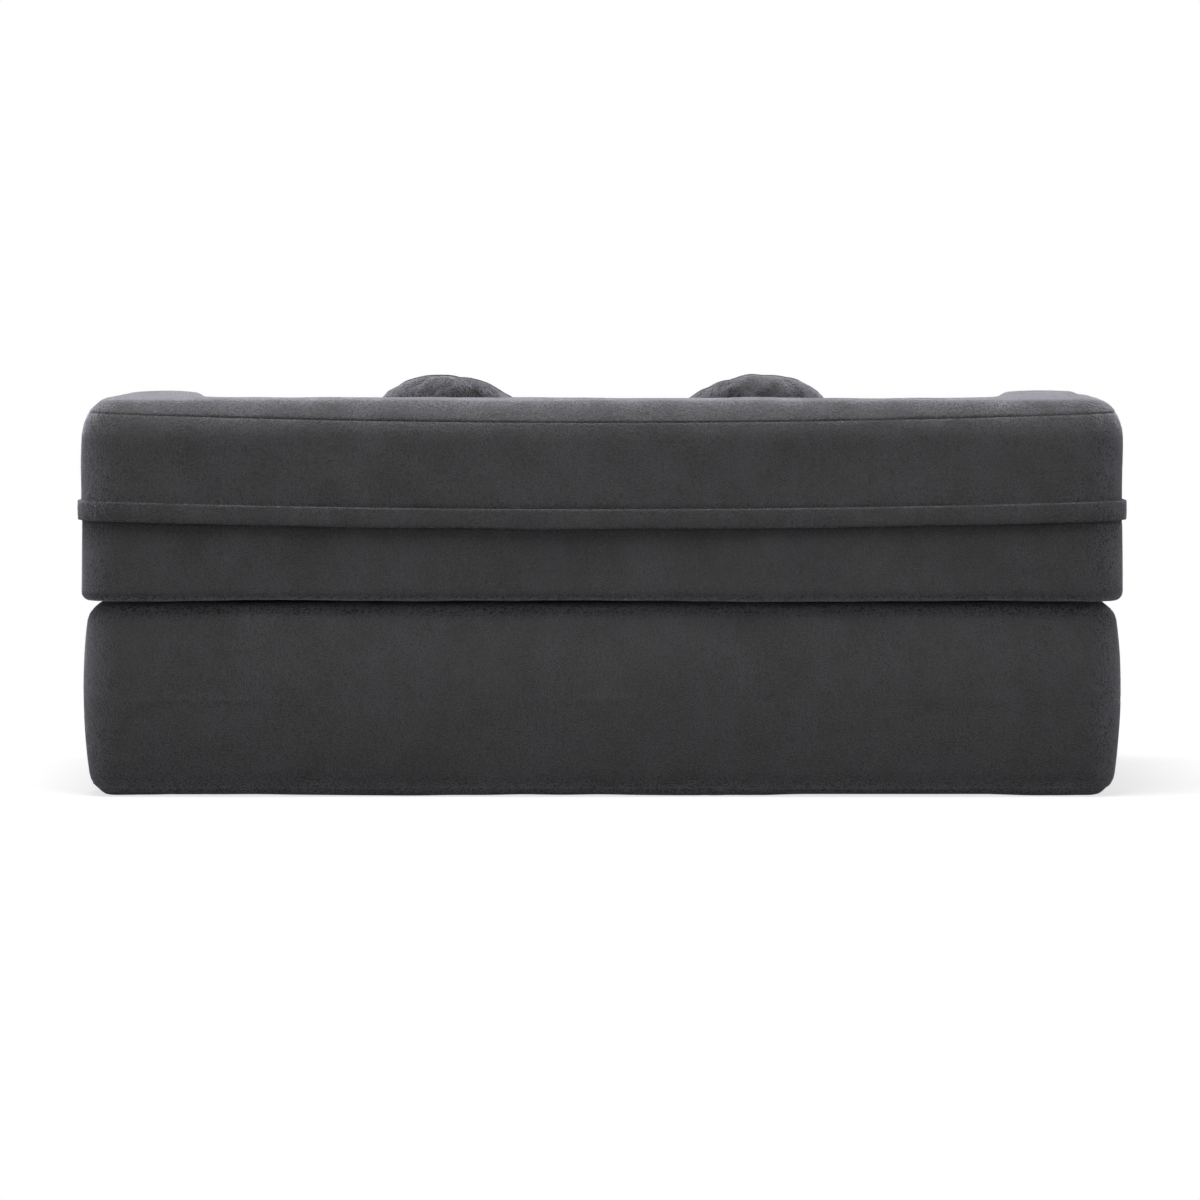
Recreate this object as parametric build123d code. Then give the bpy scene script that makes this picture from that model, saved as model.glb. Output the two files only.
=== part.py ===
from build123d import *
import os

# Folding sofa bed in foam, in millimetres.
# +Z is up, the sitter faces -Y, and the origin is on the floor under the middle of the sofa.
# Three mattress sections lie on each other in a Z: bottom, middle and seat.
# The seat section also carries a back and two arms as one U-shaped bolster.
# Left is the sitter's left, on the +X side.

# Mattress sections
sofa_width = 1520.0
section_depth = 730.0
section_thickness = 142.0
fold_gap = 0.6
plan_corner_radius = 58.0
seat_lower_edge_radius = 12.0
middle_upper_edge_radius = 26.0
middle_lower_edge_radius = 16.0
bottom_upper_edge_radius = 16.0
bottom_lower_edge_radius = 30.0

# Seat surface
seat_edge_drop = 6.0
seat_crown = 10.0
seat_edge_radius = 30.0

# The bolster that forms back and arms
arm_width = 168.0
back_width = 160.0
bolster_height = 154.0
bolster_top_radius = 40.0
arm_front_radius = 46.0
recess_corner_radius = 280.0
bolster_root_height = 60.0

# Cloth and foam
cover_wall = 6.0
foam_bevel_share = 0.45
foam_clearance = 0.3
comfort_thickness = 42.0
fold_panel_thickness = 2.0
fold_panel_wrap = 76.0
fold_panel_clearance = 0.3
rear_panel_lower_margin = 34.0
rear_panel_upper_margin = 30.0
front_panel_reach = 56.0
grip_panel_thickness = 1.6
grip_panel_inset = 70.0
grip_panel_radius = 24.0

# Pivots of the two folds, beyond the end faces
pivot_setback = 1.0

# Zips of the middle and the bottom cover, on the right side
side_zip_length = 420.0
side_zip_height = 7.0
side_zip_thickness = 2.2
side_zip_recess = 1.2

# Zip around the sides and the back of the seat cover
zip_height = 124.0
zip_front_setback = 96.0
tape_width = 6.0
tape_recess = 1.6
tape_thickness = 1.9
chain_width = 6.0
chain_recess = 0.9
chain_thickness = 3.2
stop_length = 5.0
stop_overhang = 1.2
slider_length = 16.0
slider_width = 9.0
slider_plate = 1.2
slider_clearance = 0.25
slider_post_width = 2.4
slider_post_length = 4.0
slider_edge_radius = 2.0
slider_lug_height = 1.6
slider_lug_length = 7.0
slider_end_gap = 1.0

# Cloth flap over the zip
flap_gap = 4.0
flap_thickness = 2.0
flap_drop = 14.0
flap_rise = 13.0
flap_seam_height = 3.0
flap_front_setback = 78.0

# Waist pillows
pillow_width = 308.0
pillow_height = 193.0
pillow_thickness = 94.0
pillow_corner_radius = 76.0
pillow_side_draw = 9.0
pillow_wall = 3.0
pillow_seam_height = 8.0
pillow_crown_inset = 66.0
pillow_height_shares = (0, 0.42, 0.7, 0.9, 1)
pillow_inset_shares = (0, 0.1, 0.28, 0.6, 1)
pillow_lean = 56.0
pillow_roll = 33.0
pillow_offset = 193.0
pillow_rest_clearance = 0.3
seating_steps = 5

# How far cutting tools run past what they cut
overrun = 20.0

flap_proud = flap_gap + flap_thickness
depth_centre = -flap_proud / 2
front_face = depth_centre - section_depth / 2
back_face = depth_centre + section_depth / 2
half_gap = fold_gap / 2
foam_inset = cover_wall + foam_clearance

bottom_top = section_thickness - half_gap
middle_base = section_thickness + half_gap
middle_top = 2 * section_thickness - half_gap
seat_base = 2 * section_thickness + half_gap
seat_edge_top = 3 * section_thickness - seat_edge_drop
seat_middle_top = seat_edge_top + seat_crown
bolster_top = 3 * section_thickness + bolster_height
recess_half_width = sofa_width / 2 - arm_width
recess_back = back_face - back_width
seat_comfort_base = seat_edge_top - cover_wall - comfort_thickness

zip_level = seat_base + zip_height
zip_start = front_face + zip_front_setback
tape_edge = chain_width / 2 + tape_width
side_face = sofa_width / 2
chain_start = zip_start + stop_length
chain_depth = chain_recess + chain_thickness
slider_start = chain_start + slider_end_gap
straight_end = back_face - plan_corner_radius
slider_travel = straight_end - slider_end_gap - slider_length - slider_start


def everything_between(low, high):
    """A slab that holds all that lies between two heights."""
    span = 2 * (sofa_width + section_depth)
    return Pos(0, 0, (low + high) / 2) * Box(span, span, high - low)


def everything_behind(plane):
    """A block that holds all that lies behind an upright plane."""
    span = 2 * (sofa_width + section_depth)
    return Pos(0, plane + span / 2, 0) * Box(span, span, span)


def raised(plan, low, high):
    """A plan drawn up between two heights."""
    return Pos(0, 0, low) * extrude(plan, high - low)


def outline(inset):
    """The rounded plan outline that all three sections share."""
    width = sofa_width - 2 * inset
    depth = section_depth - 2 * inset
    return Pos(0, depth_centre) * RectangleRounded(width, depth, plan_corner_radius - inset)


def ring(outer_inset, inner_inset):
    """The plan between two insets of the outline."""
    return outline(outer_inset) - outline(inner_inset)


def soften(edges, radius, inset):
    """Rounds the outer edges of a block. Inside a cover they are bevels, as foam is cut."""
    if inset:
        return chamfer(edges, radius * foam_bevel_share)
    return fillet(edges, radius)


def under_arc(middle_height, end_height):
    """All that lies under an arc across the sofa, which ends at the sofa's sides."""
    half = sofa_width / 2 + overrun
    slope = (end_height - middle_height) / (sofa_width / 2) ** 2
    end = middle_height + slope * half**2
    top = ThreePointArc((-half, end), (0, middle_height), (half, end))
    rest = Polyline((half, end), (half, 0), (-half, 0), (-half, end))
    return extrude(Plane.XZ * make_face([top, rest]), section_depth, both=True)


def section_block(base, top, lower_radius, upper_radius, inset):
    """A mattress section with rounded corners and edges, inset all round."""
    block = raised(outline(inset), base + inset, top - inset)
    block = soften(block.edges().group_by(Axis.Z)[-1], upper_radius, inset)
    return soften(block.edges().group_by(Axis.Z)[0], lower_radius, inset)


def seat_slab(inset):
    """The seat section without its bolster, with a crowned top."""
    slab = raised(outline(inset), seat_base + inset, seat_middle_top + overrun)
    slab &= under_arc(seat_middle_top - inset, seat_edge_top - inset)
    slab = soften(slab.faces().sort_by(Axis.Z)[-1].edges(), seat_edge_radius, inset)
    return soften(slab.edges().group_by(Axis.Z)[0], seat_lower_edge_radius, inset)


def recess_plan(inset):
    """The plan between the arms and in front of the back. An inset widens it."""
    half_width = recess_half_width + inset
    length = section_depth + 2 * recess_corner_radius
    plan = RectangleRounded(2 * half_width, length, recess_corner_radius + inset)
    return Pos(0, recess_back + inset - length / 2) * plan


def recess_column(inset):
    """The recess drawn up through the whole height."""
    return raised(recess_plan(inset), 0, bolster_top + overrun)


def bolster(inset):
    """The U of back and arms, standing in the seat slab."""
    plan = outline(inset) - recess_plan(inset)
    corners = plan.vertices().filter_by(
        lambda v: abs(v.Y - front_face - inset) < fold_gap
        and abs(abs(v.X) - recess_half_width - inset) < fold_gap
    )
    plan = fillet(corners, arm_front_radius - inset)
    walls = raised(plan, seat_base + bolster_root_height, bolster_top - inset)
    return soften(walls.edges().group_by(Axis.Z)[-1], bolster_top_radius, inset)


def seat_envelope(inset):
    """Seat slab and bolster as one body, inset all round."""
    return seat_slab(inset) + bolster(inset)


def end_window(facing, play):
    """The plan round one end of a section that a fold panel covers."""
    edge = front_face if facing < 0 else back_face
    wrap = fold_panel_wrap + play
    span = sofa_width + 2 * overrun
    return Pos(0, edge - facing * (wrap - overrun) / 2) * Rectangle(span, wrap + overrun)


def fold_panel(facing, low, high):
    """Cloth over a fold, let into the faces of both sections. Facing is -1 at the front."""
    return raised(ring(0, fold_panel_thickness) & end_window(facing, 0), low, high)


def fold_panel_seat(facing, low, high):
    """What is cut from the covers to take a fold panel, a little larger all round."""
    play = fold_panel_clearance
    plan = ring(-overrun, fold_panel_thickness + play) & end_window(facing, play)
    return raised(plan, low - play, high + play)


def grip_panel(low):
    """Thin non-slip cloth let into a face that can lie on the floor."""
    plan = RectangleRounded(
        sofa_width - 2 * grip_panel_inset,
        section_depth - 2 * grip_panel_inset,
        grip_panel_radius,
    )
    return raised(Pos(0, depth_centre) * plan, low, low + grip_panel_thickness)


def side_zip_place(height):
    """The middle of a side zip, on the outer face of the right side."""
    return Pos(-side_face, depth_centre, height)


def side_zip(height):
    """A closed zip as a strip, set back in its slot."""
    strip = Box(side_zip_thickness, side_zip_length, side_zip_height)
    return side_zip_place(height) * Pos(side_zip_recess + side_zip_thickness / 2) * strip


def side_zip_slot(height):
    """The slot that a side zip closes."""
    return side_zip_place(height) * Box(2 * (cover_wall + foam_inset), side_zip_length, side_zip_height)


def two_foams(block, split_height, comfort_above):
    """A foam block cut in two layers. The comfort layer is above or below the cut."""
    above = block & everything_between(split_height, bolster_top + overrun)
    below = block & everything_between(-overrun, split_height)
    return (below, above) if comfort_above else (above, below)


def zip_ring(outer_inset, inner_inset, low, high, start):
    """A strip round the sides and the back, from a plane near the front."""
    strip = raised(ring(outer_inset, inner_inset), zip_level + low, zip_level + high)
    return strip & everything_behind(start)


def zip_slot():
    """The slot between lower and upper cover that tapes and chain fill."""
    return zip_ring(-overrun, foam_inset, -tape_edge, tape_edge, zip_start)


def zip_tape(low, high):
    """One tape, sewn to the edge of its cover."""
    return zip_ring(tape_recess, tape_recess + tape_thickness, low, high, zip_start)


def slider_groove():
    """The groove that the slider's post needs in the chain, over its whole run."""
    width = slider_post_width + 2 * slider_clearance
    length = slider_travel + slider_length
    place = Pos(side_face, slider_start + length / 2, zip_level)
    return place * Box(2 * foam_inset, length, width)


def zip_chain():
    """The closed chain, parted along the slider's run."""
    half = chain_width / 2
    return zip_ring(chain_recess, chain_depth, -half, half, chain_start) - slider_groove()


def zip_stops():
    """Blocks that close both front ends of the chain."""
    half = chain_width / 2
    blocks = zip_ring(chain_recess - stop_overhang, chain_depth, -half, half, zip_start)
    return blocks - everything_behind(chain_start)


def slider_plate_at(depth):
    """A plate of the slider, its outer side at a depth under the cover's surface."""
    plate = Box(slider_plate, slider_length, slider_width)
    plate = fillet(plate.edges().filter_by(Axis.X), slider_edge_radius)
    middle = slider_start + slider_length / 2
    return Pos(side_face - depth - slider_plate / 2, middle, zip_level) * plate


def zip_slider():
    """Slider without a tab: two plates round the chain, a post between them and a low lug."""
    outer_depth = chain_recess - slider_clearance - slider_plate
    inner_depth = chain_depth + slider_clearance
    middle = slider_start + slider_length / 2
    span = inner_depth - outer_depth
    post = Box(span, slider_post_length, slider_post_width)
    post = Pos(side_face - outer_depth - span / 2, middle, zip_level) * post
    lug = Box(slider_lug_height, slider_lug_length, slider_post_width)
    lug = fillet(lug.edges().filter_by(Axis.Z).group_by(Axis.X)[-1], slider_lug_height / 2)
    lug = Pos(side_face - outer_depth + slider_lug_height / 2, middle, zip_level) * lug
    return slider_plate_at(outer_depth) + slider_plate_at(inner_depth) + post + lug


def zip_flap():
    """Cloth flap over the zip, sewn on along its upper edge and open below."""
    start = front_face + flap_front_setback
    hanging = zip_ring(-flap_proud, -flap_gap, -flap_drop, flap_rise, start)
    seam = zip_ring(-flap_proud, 0, flap_rise - flap_seam_height, flap_rise, start)
    return hanging + seam


def seat_covers():
    """Lower cover, seat panel and bolster cover, cut apart at the zip and along the recess."""
    shell = seat_envelope(0) - seat_envelope(cover_wall) - zip_slot()
    shell -= grip_panel(seat_base)
    shell -= fold_panel_seat(-1, seat_base, seat_base + front_panel_reach)
    lower = shell & everything_between(0, zip_level)
    upper = shell & everything_between(zip_level, bolster_top + overrun)
    column = recess_column(0)
    return lower, upper & column, upper - column


def seat_foams():
    """Support slab, comfort layer of the seat, and the foams of back and arms."""
    block = seat_envelope(foam_inset)
    support = block & everything_between(0, seat_comfort_base)
    above = block & everything_between(seat_comfort_base, bolster_top)
    column = recess_column(foam_inset)
    comfort = above & column
    walls = above - column
    back_front = recess_back + foam_inset
    back = walls & everything_behind(back_front)
    arms = walls - everything_behind(back_front)
    left, right = arms.solids().sort_by(Axis.X, reverse=True)
    return support, comfort, back, left, right


def middle_block(inset):
    """The middle section."""
    return section_block(
        middle_base, middle_top, middle_lower_edge_radius, middle_upper_edge_radius, inset
    )


def bottom_block(inset):
    """The bottom section."""
    return section_block(
        0, bottom_top, bottom_lower_edge_radius, bottom_upper_edge_radius, inset
    )


def middle_cover():
    """Cover of the middle section, with seats for both fold panels, its grip panel and its zip."""
    shell = middle_block(0) - middle_block(cover_wall)
    shell -= grip_panel(middle_top - grip_panel_thickness)
    shell -= side_zip_slot((middle_base + middle_top) / 2)
    shell -= fold_panel_seat(-1, middle_top - front_panel_reach, middle_top)
    return shell - fold_panel_seat(1, middle_base, middle_top - rear_panel_upper_margin)


def bottom_cover():
    """Cover of the bottom section, with the seat of the rear fold panel, its grip panel and its zip."""
    shell = bottom_block(0) - bottom_block(cover_wall)
    shell -= grip_panel(0)
    shell -= side_zip_slot(bottom_top / 2)
    return shell - fold_panel_seat(1, rear_panel_lower_margin, bottom_top)


def pillow_plan(inset):
    """Outline of a pillow with rounded corners and sides that draw in between them."""
    half_width = pillow_width / 2 - inset
    half_height = pillow_height / 2 - inset
    top = ThreePointArc(
        (-half_width, half_height), (0, half_height - pillow_side_draw), (half_width, half_height)
    )
    right = ThreePointArc(
        (half_width, half_height), (half_width - pillow_side_draw, 0), (half_width, -half_height)
    )
    face = make_face([top, right, top.mirror(Plane.XZ), right.mirror(Plane.YZ)])
    return fillet(face.vertices(), pillow_corner_radius - inset)


def pillow_form(inset):
    """Crowned pillow, in bands from crown to crown through its seam, lying flat."""
    half = pillow_thickness / 2 - inset
    seam = pillow_seam_height / 2
    heights = [seam + (half - seam) * share for share in pillow_height_shares]
    draws = [inset + pillow_crown_inset * share for share in pillow_inset_shares]
    upper = [Pos(0, 0, z) * pillow_plan(draw) for z, draw in zip(heights, draws)]
    lower = [Pos(0, 0, -z) * pillow_plan(draw) for z, draw in zip(heights, draws)]
    return loft(lower[::-1] + upper, ruled=True)


def leaning(form):
    """The left pillow as it leans, before it is seated."""
    return Rot(90 - pillow_lean, 0, 0) * Rot(0, 0, pillow_roll) * form


def seating():
    """The shift that sets the left pillow on the seat and against the back."""
    form = leaning(pillow_form(0))
    box = form.bounding_box()
    start = (recess_back - overrun - box.max.Y, seat_middle_top + overrun - box.min.Z)
    shift = Vector(pillow_offset, *start)
    for support, way in ((seat_slab(0), Vector(0, 0, -1)), (bolster(0), Vector(0, 1, 0))):
        for _ in range(seating_steps):
            gap = (Pos(*shift) * form).distance_to(support)
            shift += way * (gap - pillow_rest_clearance)
    return Pos(*shift)


def pillows():
    """Cover and fill of both pillows."""
    place = seating()
    cover = place * leaning(pillow_form(0) - pillow_form(pillow_wall))
    fill = place * leaning(pillow_form(pillow_wall + foam_clearance))
    return cover, fill, mirror(cover, Plane.YZ), mirror(fill, Plane.YZ)


def sofa_bed():
    """All pieces by name."""
    pieces = {}
    covers = seat_covers()
    pieces["seat_lower_cover"], pieces["seat_top_cover"], pieces["bolster_cover"] = covers
    foams = seat_foams()
    names = ("seat_support_foam", "seat_comfort_foam", "back_foam", "left_arm_foam", "right_arm_foam")
    pieces.update(zip(names, foams))
    pieces["seat_grip_panel"] = grip_panel(seat_base)
    pieces["zipper_lower_tape"] = zip_tape(-tape_edge, -chain_width / 2)
    pieces["zipper_upper_tape"] = zip_tape(chain_width / 2, tape_edge)
    pieces["zipper_chain"] = zip_chain()
    pieces["zipper_stops"] = zip_stops()
    pieces["zipper_slider"] = zip_slider()
    pieces["zipper_flap"] = zip_flap()
    pieces["front_fold_panel"] = fold_panel(
        -1, middle_top - front_panel_reach, seat_base + front_panel_reach
    )
    pieces["middle_cover"] = middle_cover()
    pieces["middle_grip_panel"] = grip_panel(middle_top - grip_panel_thickness)
    pieces["middle_zip"] = side_zip((middle_base + middle_top) / 2)
    middle_split = middle_base + cover_wall + comfort_thickness
    layers = two_foams(middle_block(foam_inset), middle_split, False)
    pieces["middle_support_foam"], pieces["middle_comfort_foam"] = layers
    pieces["bottom_cover"] = bottom_cover()
    pieces["bottom_grip_panel"] = grip_panel(0)
    pieces["bottom_zip"] = side_zip(bottom_top / 2)
    bottom_split = bottom_top - cover_wall - comfort_thickness
    layers = two_foams(bottom_block(foam_inset), bottom_split, True)
    pieces["bottom_support_foam"], pieces["bottom_comfort_foam"] = layers
    pieces["rear_fold_panel"] = fold_panel(
        1, rear_panel_lower_margin, middle_top - rear_panel_upper_margin
    )
    names = ("left_pillow_cover", "left_pillow_fill", "right_pillow_cover", "right_pillow_fill")
    pieces.update(zip(names, pillows()))
    return pieces


def write_pieces():
    """One file for each piece, and the places of the pivots on the screen."""
    os.makedirs("parts", exist_ok=True)
    for name, piece in sofa_bed().items():
        export_step(piece, f"parts/{name}.step")
    print("front pivot", front_face - pivot_setback, 2 * section_thickness)
    print("rear pivot", back_face + pivot_setback, section_thickness)
    print("slider travel", slider_travel)


write_pieces()
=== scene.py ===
"""Looks of a foam sofa bed that folds in a Z. Lengths are in metres, in the frame of its solids."""

import logging
import math
from collections.abc import Iterator
from contextlib import contextmanager
from dataclasses import dataclass, field
from enum import Enum
from functools import cache

import bmesh
import bpy
import numpy as np
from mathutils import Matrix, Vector
from mathutils.bvhtree import BVHTree


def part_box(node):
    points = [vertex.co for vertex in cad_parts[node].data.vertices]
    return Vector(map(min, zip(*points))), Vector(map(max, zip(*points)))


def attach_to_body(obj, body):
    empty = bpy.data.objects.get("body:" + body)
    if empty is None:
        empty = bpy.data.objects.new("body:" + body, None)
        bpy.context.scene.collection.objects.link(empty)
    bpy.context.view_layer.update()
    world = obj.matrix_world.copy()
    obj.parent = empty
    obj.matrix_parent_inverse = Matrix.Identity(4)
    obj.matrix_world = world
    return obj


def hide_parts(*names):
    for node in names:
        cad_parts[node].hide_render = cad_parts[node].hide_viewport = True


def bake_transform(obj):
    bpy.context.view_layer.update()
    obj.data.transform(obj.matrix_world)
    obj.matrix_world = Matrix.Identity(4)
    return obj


Array = np.ndarray
Mesh, Object = bpy.types.Mesh, bpy.types.Object
Socket, Tree = bpy.types.NodeSocket, bpy.types.NodeTree

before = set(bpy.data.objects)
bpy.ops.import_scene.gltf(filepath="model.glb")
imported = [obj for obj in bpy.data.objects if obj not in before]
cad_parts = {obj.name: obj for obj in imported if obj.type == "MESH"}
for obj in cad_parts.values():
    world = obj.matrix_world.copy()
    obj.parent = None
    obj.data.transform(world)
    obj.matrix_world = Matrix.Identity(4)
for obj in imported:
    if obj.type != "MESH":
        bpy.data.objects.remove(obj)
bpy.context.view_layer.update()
MM = 0.001
FULL_TURN = 2 * math.pi
QUARTER = math.pi / 2

log = logging.getLogger("sofa_bed")


class Side(Enum):
    """The two long faces of a section where a fold can be."""

    FRONT = -1
    BACK = 1


class Hand(Enum):
    """The sitter's left or right."""

    LEFT = 1
    RIGHT = -1


def smooth_step(low: float, high: float, value: Array) -> Array:
    """How far a value has risen between two others, smoothly from 0 to 1."""
    share = np.clip((value - low) / (high - low), 0.0, 1.0)
    return share * share * (3.0 - 2.0 * share)


def step_at(place: float, half: float, value: Array) -> Array:
    """How far a value has passed a place, smoothly from 0 to 1 within half a width of it."""
    return smooth_step(place - half, place + half, value)


def bell(value: Array, width: float) -> Array:
    """A bell curve of height 1 about zero, which falls to about a third at its width."""
    return np.exp(-((value / width) ** 2))


def run_length(path: Array) -> Array:
    """Distance along a path to each of its points."""
    return np.concatenate([[0.0], np.cumsum(np.linalg.norm(np.diff(path, axis=0), axis=1))])


def waves(points: Array, length: float, seed: int, count: int = 28) -> Array:
    """A smooth random field made of plane waves, the same on every run.

    Args:
        points: Places, one row each.
        length: Typical wave length.
        seed: Picks the field.
        count: How many waves are added.

    Returns:
        One value for each place, about 1 high.
    """
    rng = np.random.default_rng(seed)
    way = rng.normal(size=(points.shape[1], count))
    way /= np.linalg.norm(way, axis=0)
    number = FULL_TURN / (length * rng.uniform(0.65, 1.5, count))
    phase = rng.uniform(0.0, FULL_TURN, count)
    return np.sin(points @ (way * number) + phase).sum(axis=1) * math.sqrt(2.0 / count) * 0.5


@dataclass(frozen=True)
class Sizes:
    """Faces and levels of the sofa, read from its solids."""

    side: float
    front: float
    back: float
    middle_base: float
    middle_top: float
    bottom_top: float
    seat_base: float
    seat_top: float
    top: float
    arm_inner: float
    recess_back: float
    zip_low: float
    zip_high: float
    zip_level: float
    zip_start: float
    flap_front: float
    panel_wrap: float
    front_panel_low: float
    front_panel_high: float

    @classmethod
    def from_frame(cls) -> "Sizes":
        """Reads every face and level from the boxes of the solids.

        Returns:
            The sizes.
        """
        bottom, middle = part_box("bottom_cover"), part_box("middle_cover")
        lower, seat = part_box("seat_lower_cover"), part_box("seat_top_cover")
        bolster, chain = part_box("bolster_cover"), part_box("zipper_chain")
        tape_low, tape_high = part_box("zipper_lower_tape"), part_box("zipper_upper_tape")
        rear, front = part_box("rear_fold_panel"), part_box("front_fold_panel")
        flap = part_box("zipper_flap")
        return cls(
            side=bottom[1].x,
            front=bottom[0].y,
            back=bottom[1].y,
            middle_base=middle[0].z,
            middle_top=middle[1].z,
            bottom_top=bottom[1].z,
            seat_base=lower[0].z,
            seat_top=seat[1].z,
            top=bolster[1].z,
            arm_inner=seat[1].x,
            recess_back=seat[1].y,
            zip_low=tape_low[0].z,
            zip_high=tape_high[1].z,
            zip_level=(chain[0].z + chain[1].z) / 2,
            zip_start=tape_low[0].y,
            flap_front=flap[0].y,
            panel_wrap=rear[1].y - rear[0].y,
            front_panel_low=front[0].z,
            front_panel_high=front[1].z,
        )


SIZES = Sizes.from_frame()
PLAN_RADIUS = 58 * MM
RECESS_RADIUS = 280 * MM
ARM_FRONT_RADIUS = 46 * MM
SEAT_CROWN = 10 * MM
SEAM_MIDDLE = 545 * MM
SEAM_RISE = 14 * MM
FLAP_SAG = 3 * MM
FLAP_RISE = 12 * MM
BULGE_LEVEL = 155 * MM
BULGE_HEAD = 129 * MM
BULGE_INSET = 3 * MM
BULGE_ABOVE = 10.5 * MM
BULGE_BELOW = 13 * MM
UPPER_INSET = 1.6 * MM
PANEL_ROOM = 2.4 * MM
PANEL_EDGE = 3 * MM
ZIP_GAP = 0.3 * MM
BOTTOM_ZIP = 70.8 * MM
MIDDLE_ZIP = 213 * MM
MIDDLE_HEAD = SIZES.middle_top - 1.8 * MM
LOWEST_EDGE_RADIUS = 30 * MM
MIDDLE_HEAD_RADIUS = 26 * MM


@dataclass(frozen=True)
class Corner:
    """A corner of a plan outline and the straight run after it."""

    x: float
    y: float
    radius: float
    arc_steps: int
    run_steps: int


@dataclass(frozen=True)
class Outline:
    """A closed plan outline with square turns and rounded corners, anticlockwise from above."""

    corners: tuple[Corner, ...]

    def ring(self, inset: float) -> Array:
        """The outline moved inward, always with as many points.

        Args:
            inset: How far inward.

        Returns:
            Points in plan, one row each.
        """
        spots = np.array([(c.x, c.y) for c in self.corners])
        ways = np.roll(spots, -1, axis=0) - spots
        ways /= np.linalg.norm(ways, axis=1)[:, None]
        inward = np.stack([-ways[:, 1], ways[:, 0]], axis=1)
        arcs = []
        for i, corner in enumerate(self.corners):
            before, after = ways[i - 1], ways[i]
            left_turn = before[0] * after[1] - before[1] * after[0] > 0
            radius = max(corner.radius - inset, 0.0) if left_turn else corner.radius + inset
            spot = spots[i] + inset * (inward[i - 1] + inward[i])
            centre = spot + radius * (after - before)
            turn = np.linspace(0.0, QUARTER, corner.arc_steps + 1)[:, None]
            arcs.append(centre + radius * (np.sin(turn) * before - np.cos(turn) * after))
        pieces = []
        for i, corner in enumerate(self.corners):
            start, end = arcs[i][-1], arcs[(i + 1) % len(arcs)][0]
            share = np.arange(1, corner.run_steps)[:, None] / corner.run_steps
            pieces += [arcs[i], start + (end - start) * share]
        return np.concatenate(pieces)

    def at(self, inset: float, height: float | Array) -> Array:
        """The outline moved inward, at one height or with a height for each point."""
        return at_height(self.ring(inset), height)


def section_outline() -> Outline:
    """Plan outline that the three sections share.

    Returns:
        The outline.
    """
    s = SIZES
    return Outline(
        (
            Corner(-s.side, s.front, PLAN_RADIUS, 14, 170),
            Corner(s.side, s.front, PLAN_RADIUS, 14, 78),
            Corner(s.side, s.back, PLAN_RADIUS, 14, 170),
            Corner(-s.side, s.back, PLAN_RADIUS, 14, 78),
        )
    )


def seat_outline() -> Outline:
    """Plan outline of the seat between the arms.

    Returns:
        The outline.
    """
    s = SIZES
    return Outline(
        (
            Corner(-s.arm_inner, s.front, 9 * MM, 6, 130),
            Corner(s.arm_inner, s.front, 9 * MM, 6, 34),
            Corner(s.arm_inner, s.recess_back, RECESS_RADIUS, 40, 62),
            Corner(-s.arm_inner, s.recess_back, RECESS_RADIUS, 40, 34),
        )
    )


def bolster_outline() -> Outline:
    """Plan outline of back and arms. Outer and inner runs have as many steps as each other.

    Returns:
        The outline.
    """
    s = SIZES
    side_run, turn, back_run, end_run = 70, 46, 150, 12
    return Outline(
        (
            Corner(-s.side, s.front, PLAN_RADIUS, 12, end_run),
            Corner(-s.arm_inner, s.front, ARM_FRONT_RADIUS, 12, side_run),
            Corner(-s.arm_inner, s.recess_back, RECESS_RADIUS, turn, back_run),
            Corner(s.arm_inner, s.recess_back, RECESS_RADIUS, turn, side_run),
            Corner(s.arm_inner, s.front, ARM_FRONT_RADIUS, 12, end_run),
            Corner(s.side, s.front, PLAN_RADIUS, 12, side_run),
            Corner(s.side, s.back, PLAN_RADIUS, turn, back_run),
            Corner(-s.side, s.back, PLAN_RADIUS, turn, side_run),
        )
    )


def centre_line(points: Array) -> Array:
    """Where the rings of a plain outline run together.

    Args:
        points: An outline in plan.

    Returns:
        For each point, its place on the line along the middle.
    """
    low, high = points.min(axis=0), points.max(axis=0)
    middle = (low + high) / 2
    reach = (high[0] - low[0]) / 2 - (high[1] - low[1]) / 2
    line = points.copy()
    line[:, 0] = np.clip(points[:, 0], middle[0] - reach, middle[0] + reach)
    line[:, 1] = middle[1]
    return line


def bolster_line(outline: Outline, points: Array) -> Array:
    """Where the rings of the bolster's outline run together.

    Args:
        outline: The bolster's outline.
        points: One of its rings.

    Returns:
        For each point, its place on the line along the middle of arms and back.
    """
    corners = outline.corners
    starts, at = [], 0
    for corner in corners:
        starts.append(at)
        at += corner.arc_steps + corner.run_steps
    inner = np.arange(starts[1] + corners[1].arc_steps, starts[4] + 1)
    outer = np.arange(starts[5] + corners[5].arc_steps, len(points) + 1)[::-1] % len(points)
    line = np.zeros_like(points)
    middle = (points[inner] + points[outer]) / 2
    line[inner], line[outer] = middle, middle
    line[: inner[0]] = middle[0]
    line[inner[-1] : outer[-1]] = middle[-1]
    return line


def mixed(outline: Outline, inset: Array) -> Array:
    """A ring whose inset differs from point to point.

    Args:
        outline: The outline that is moved inward.
        inset: One inset for each point.

    Returns:
        Points in plan.
    """
    low, high = float(inset.min()), float(inset.max())
    if high - low < 1e-6:
        return outline.ring(low)
    near, far = outline.ring(low), outline.ring(high)
    return near + (far - near) * ((inset - low) / (high - low))[:, None]


def put(name: str, data: bpy.types.ID) -> Object:
    """Puts a mesh, a lamp or a camera into the scene.

    Args:
        name: Name of the object.
        data: What it holds.

    Returns:
        The new object.
    """
    piece = bpy.data.objects.new(name, data)
    bpy.context.scene.collection.objects.link(piece)
    return piece


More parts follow.
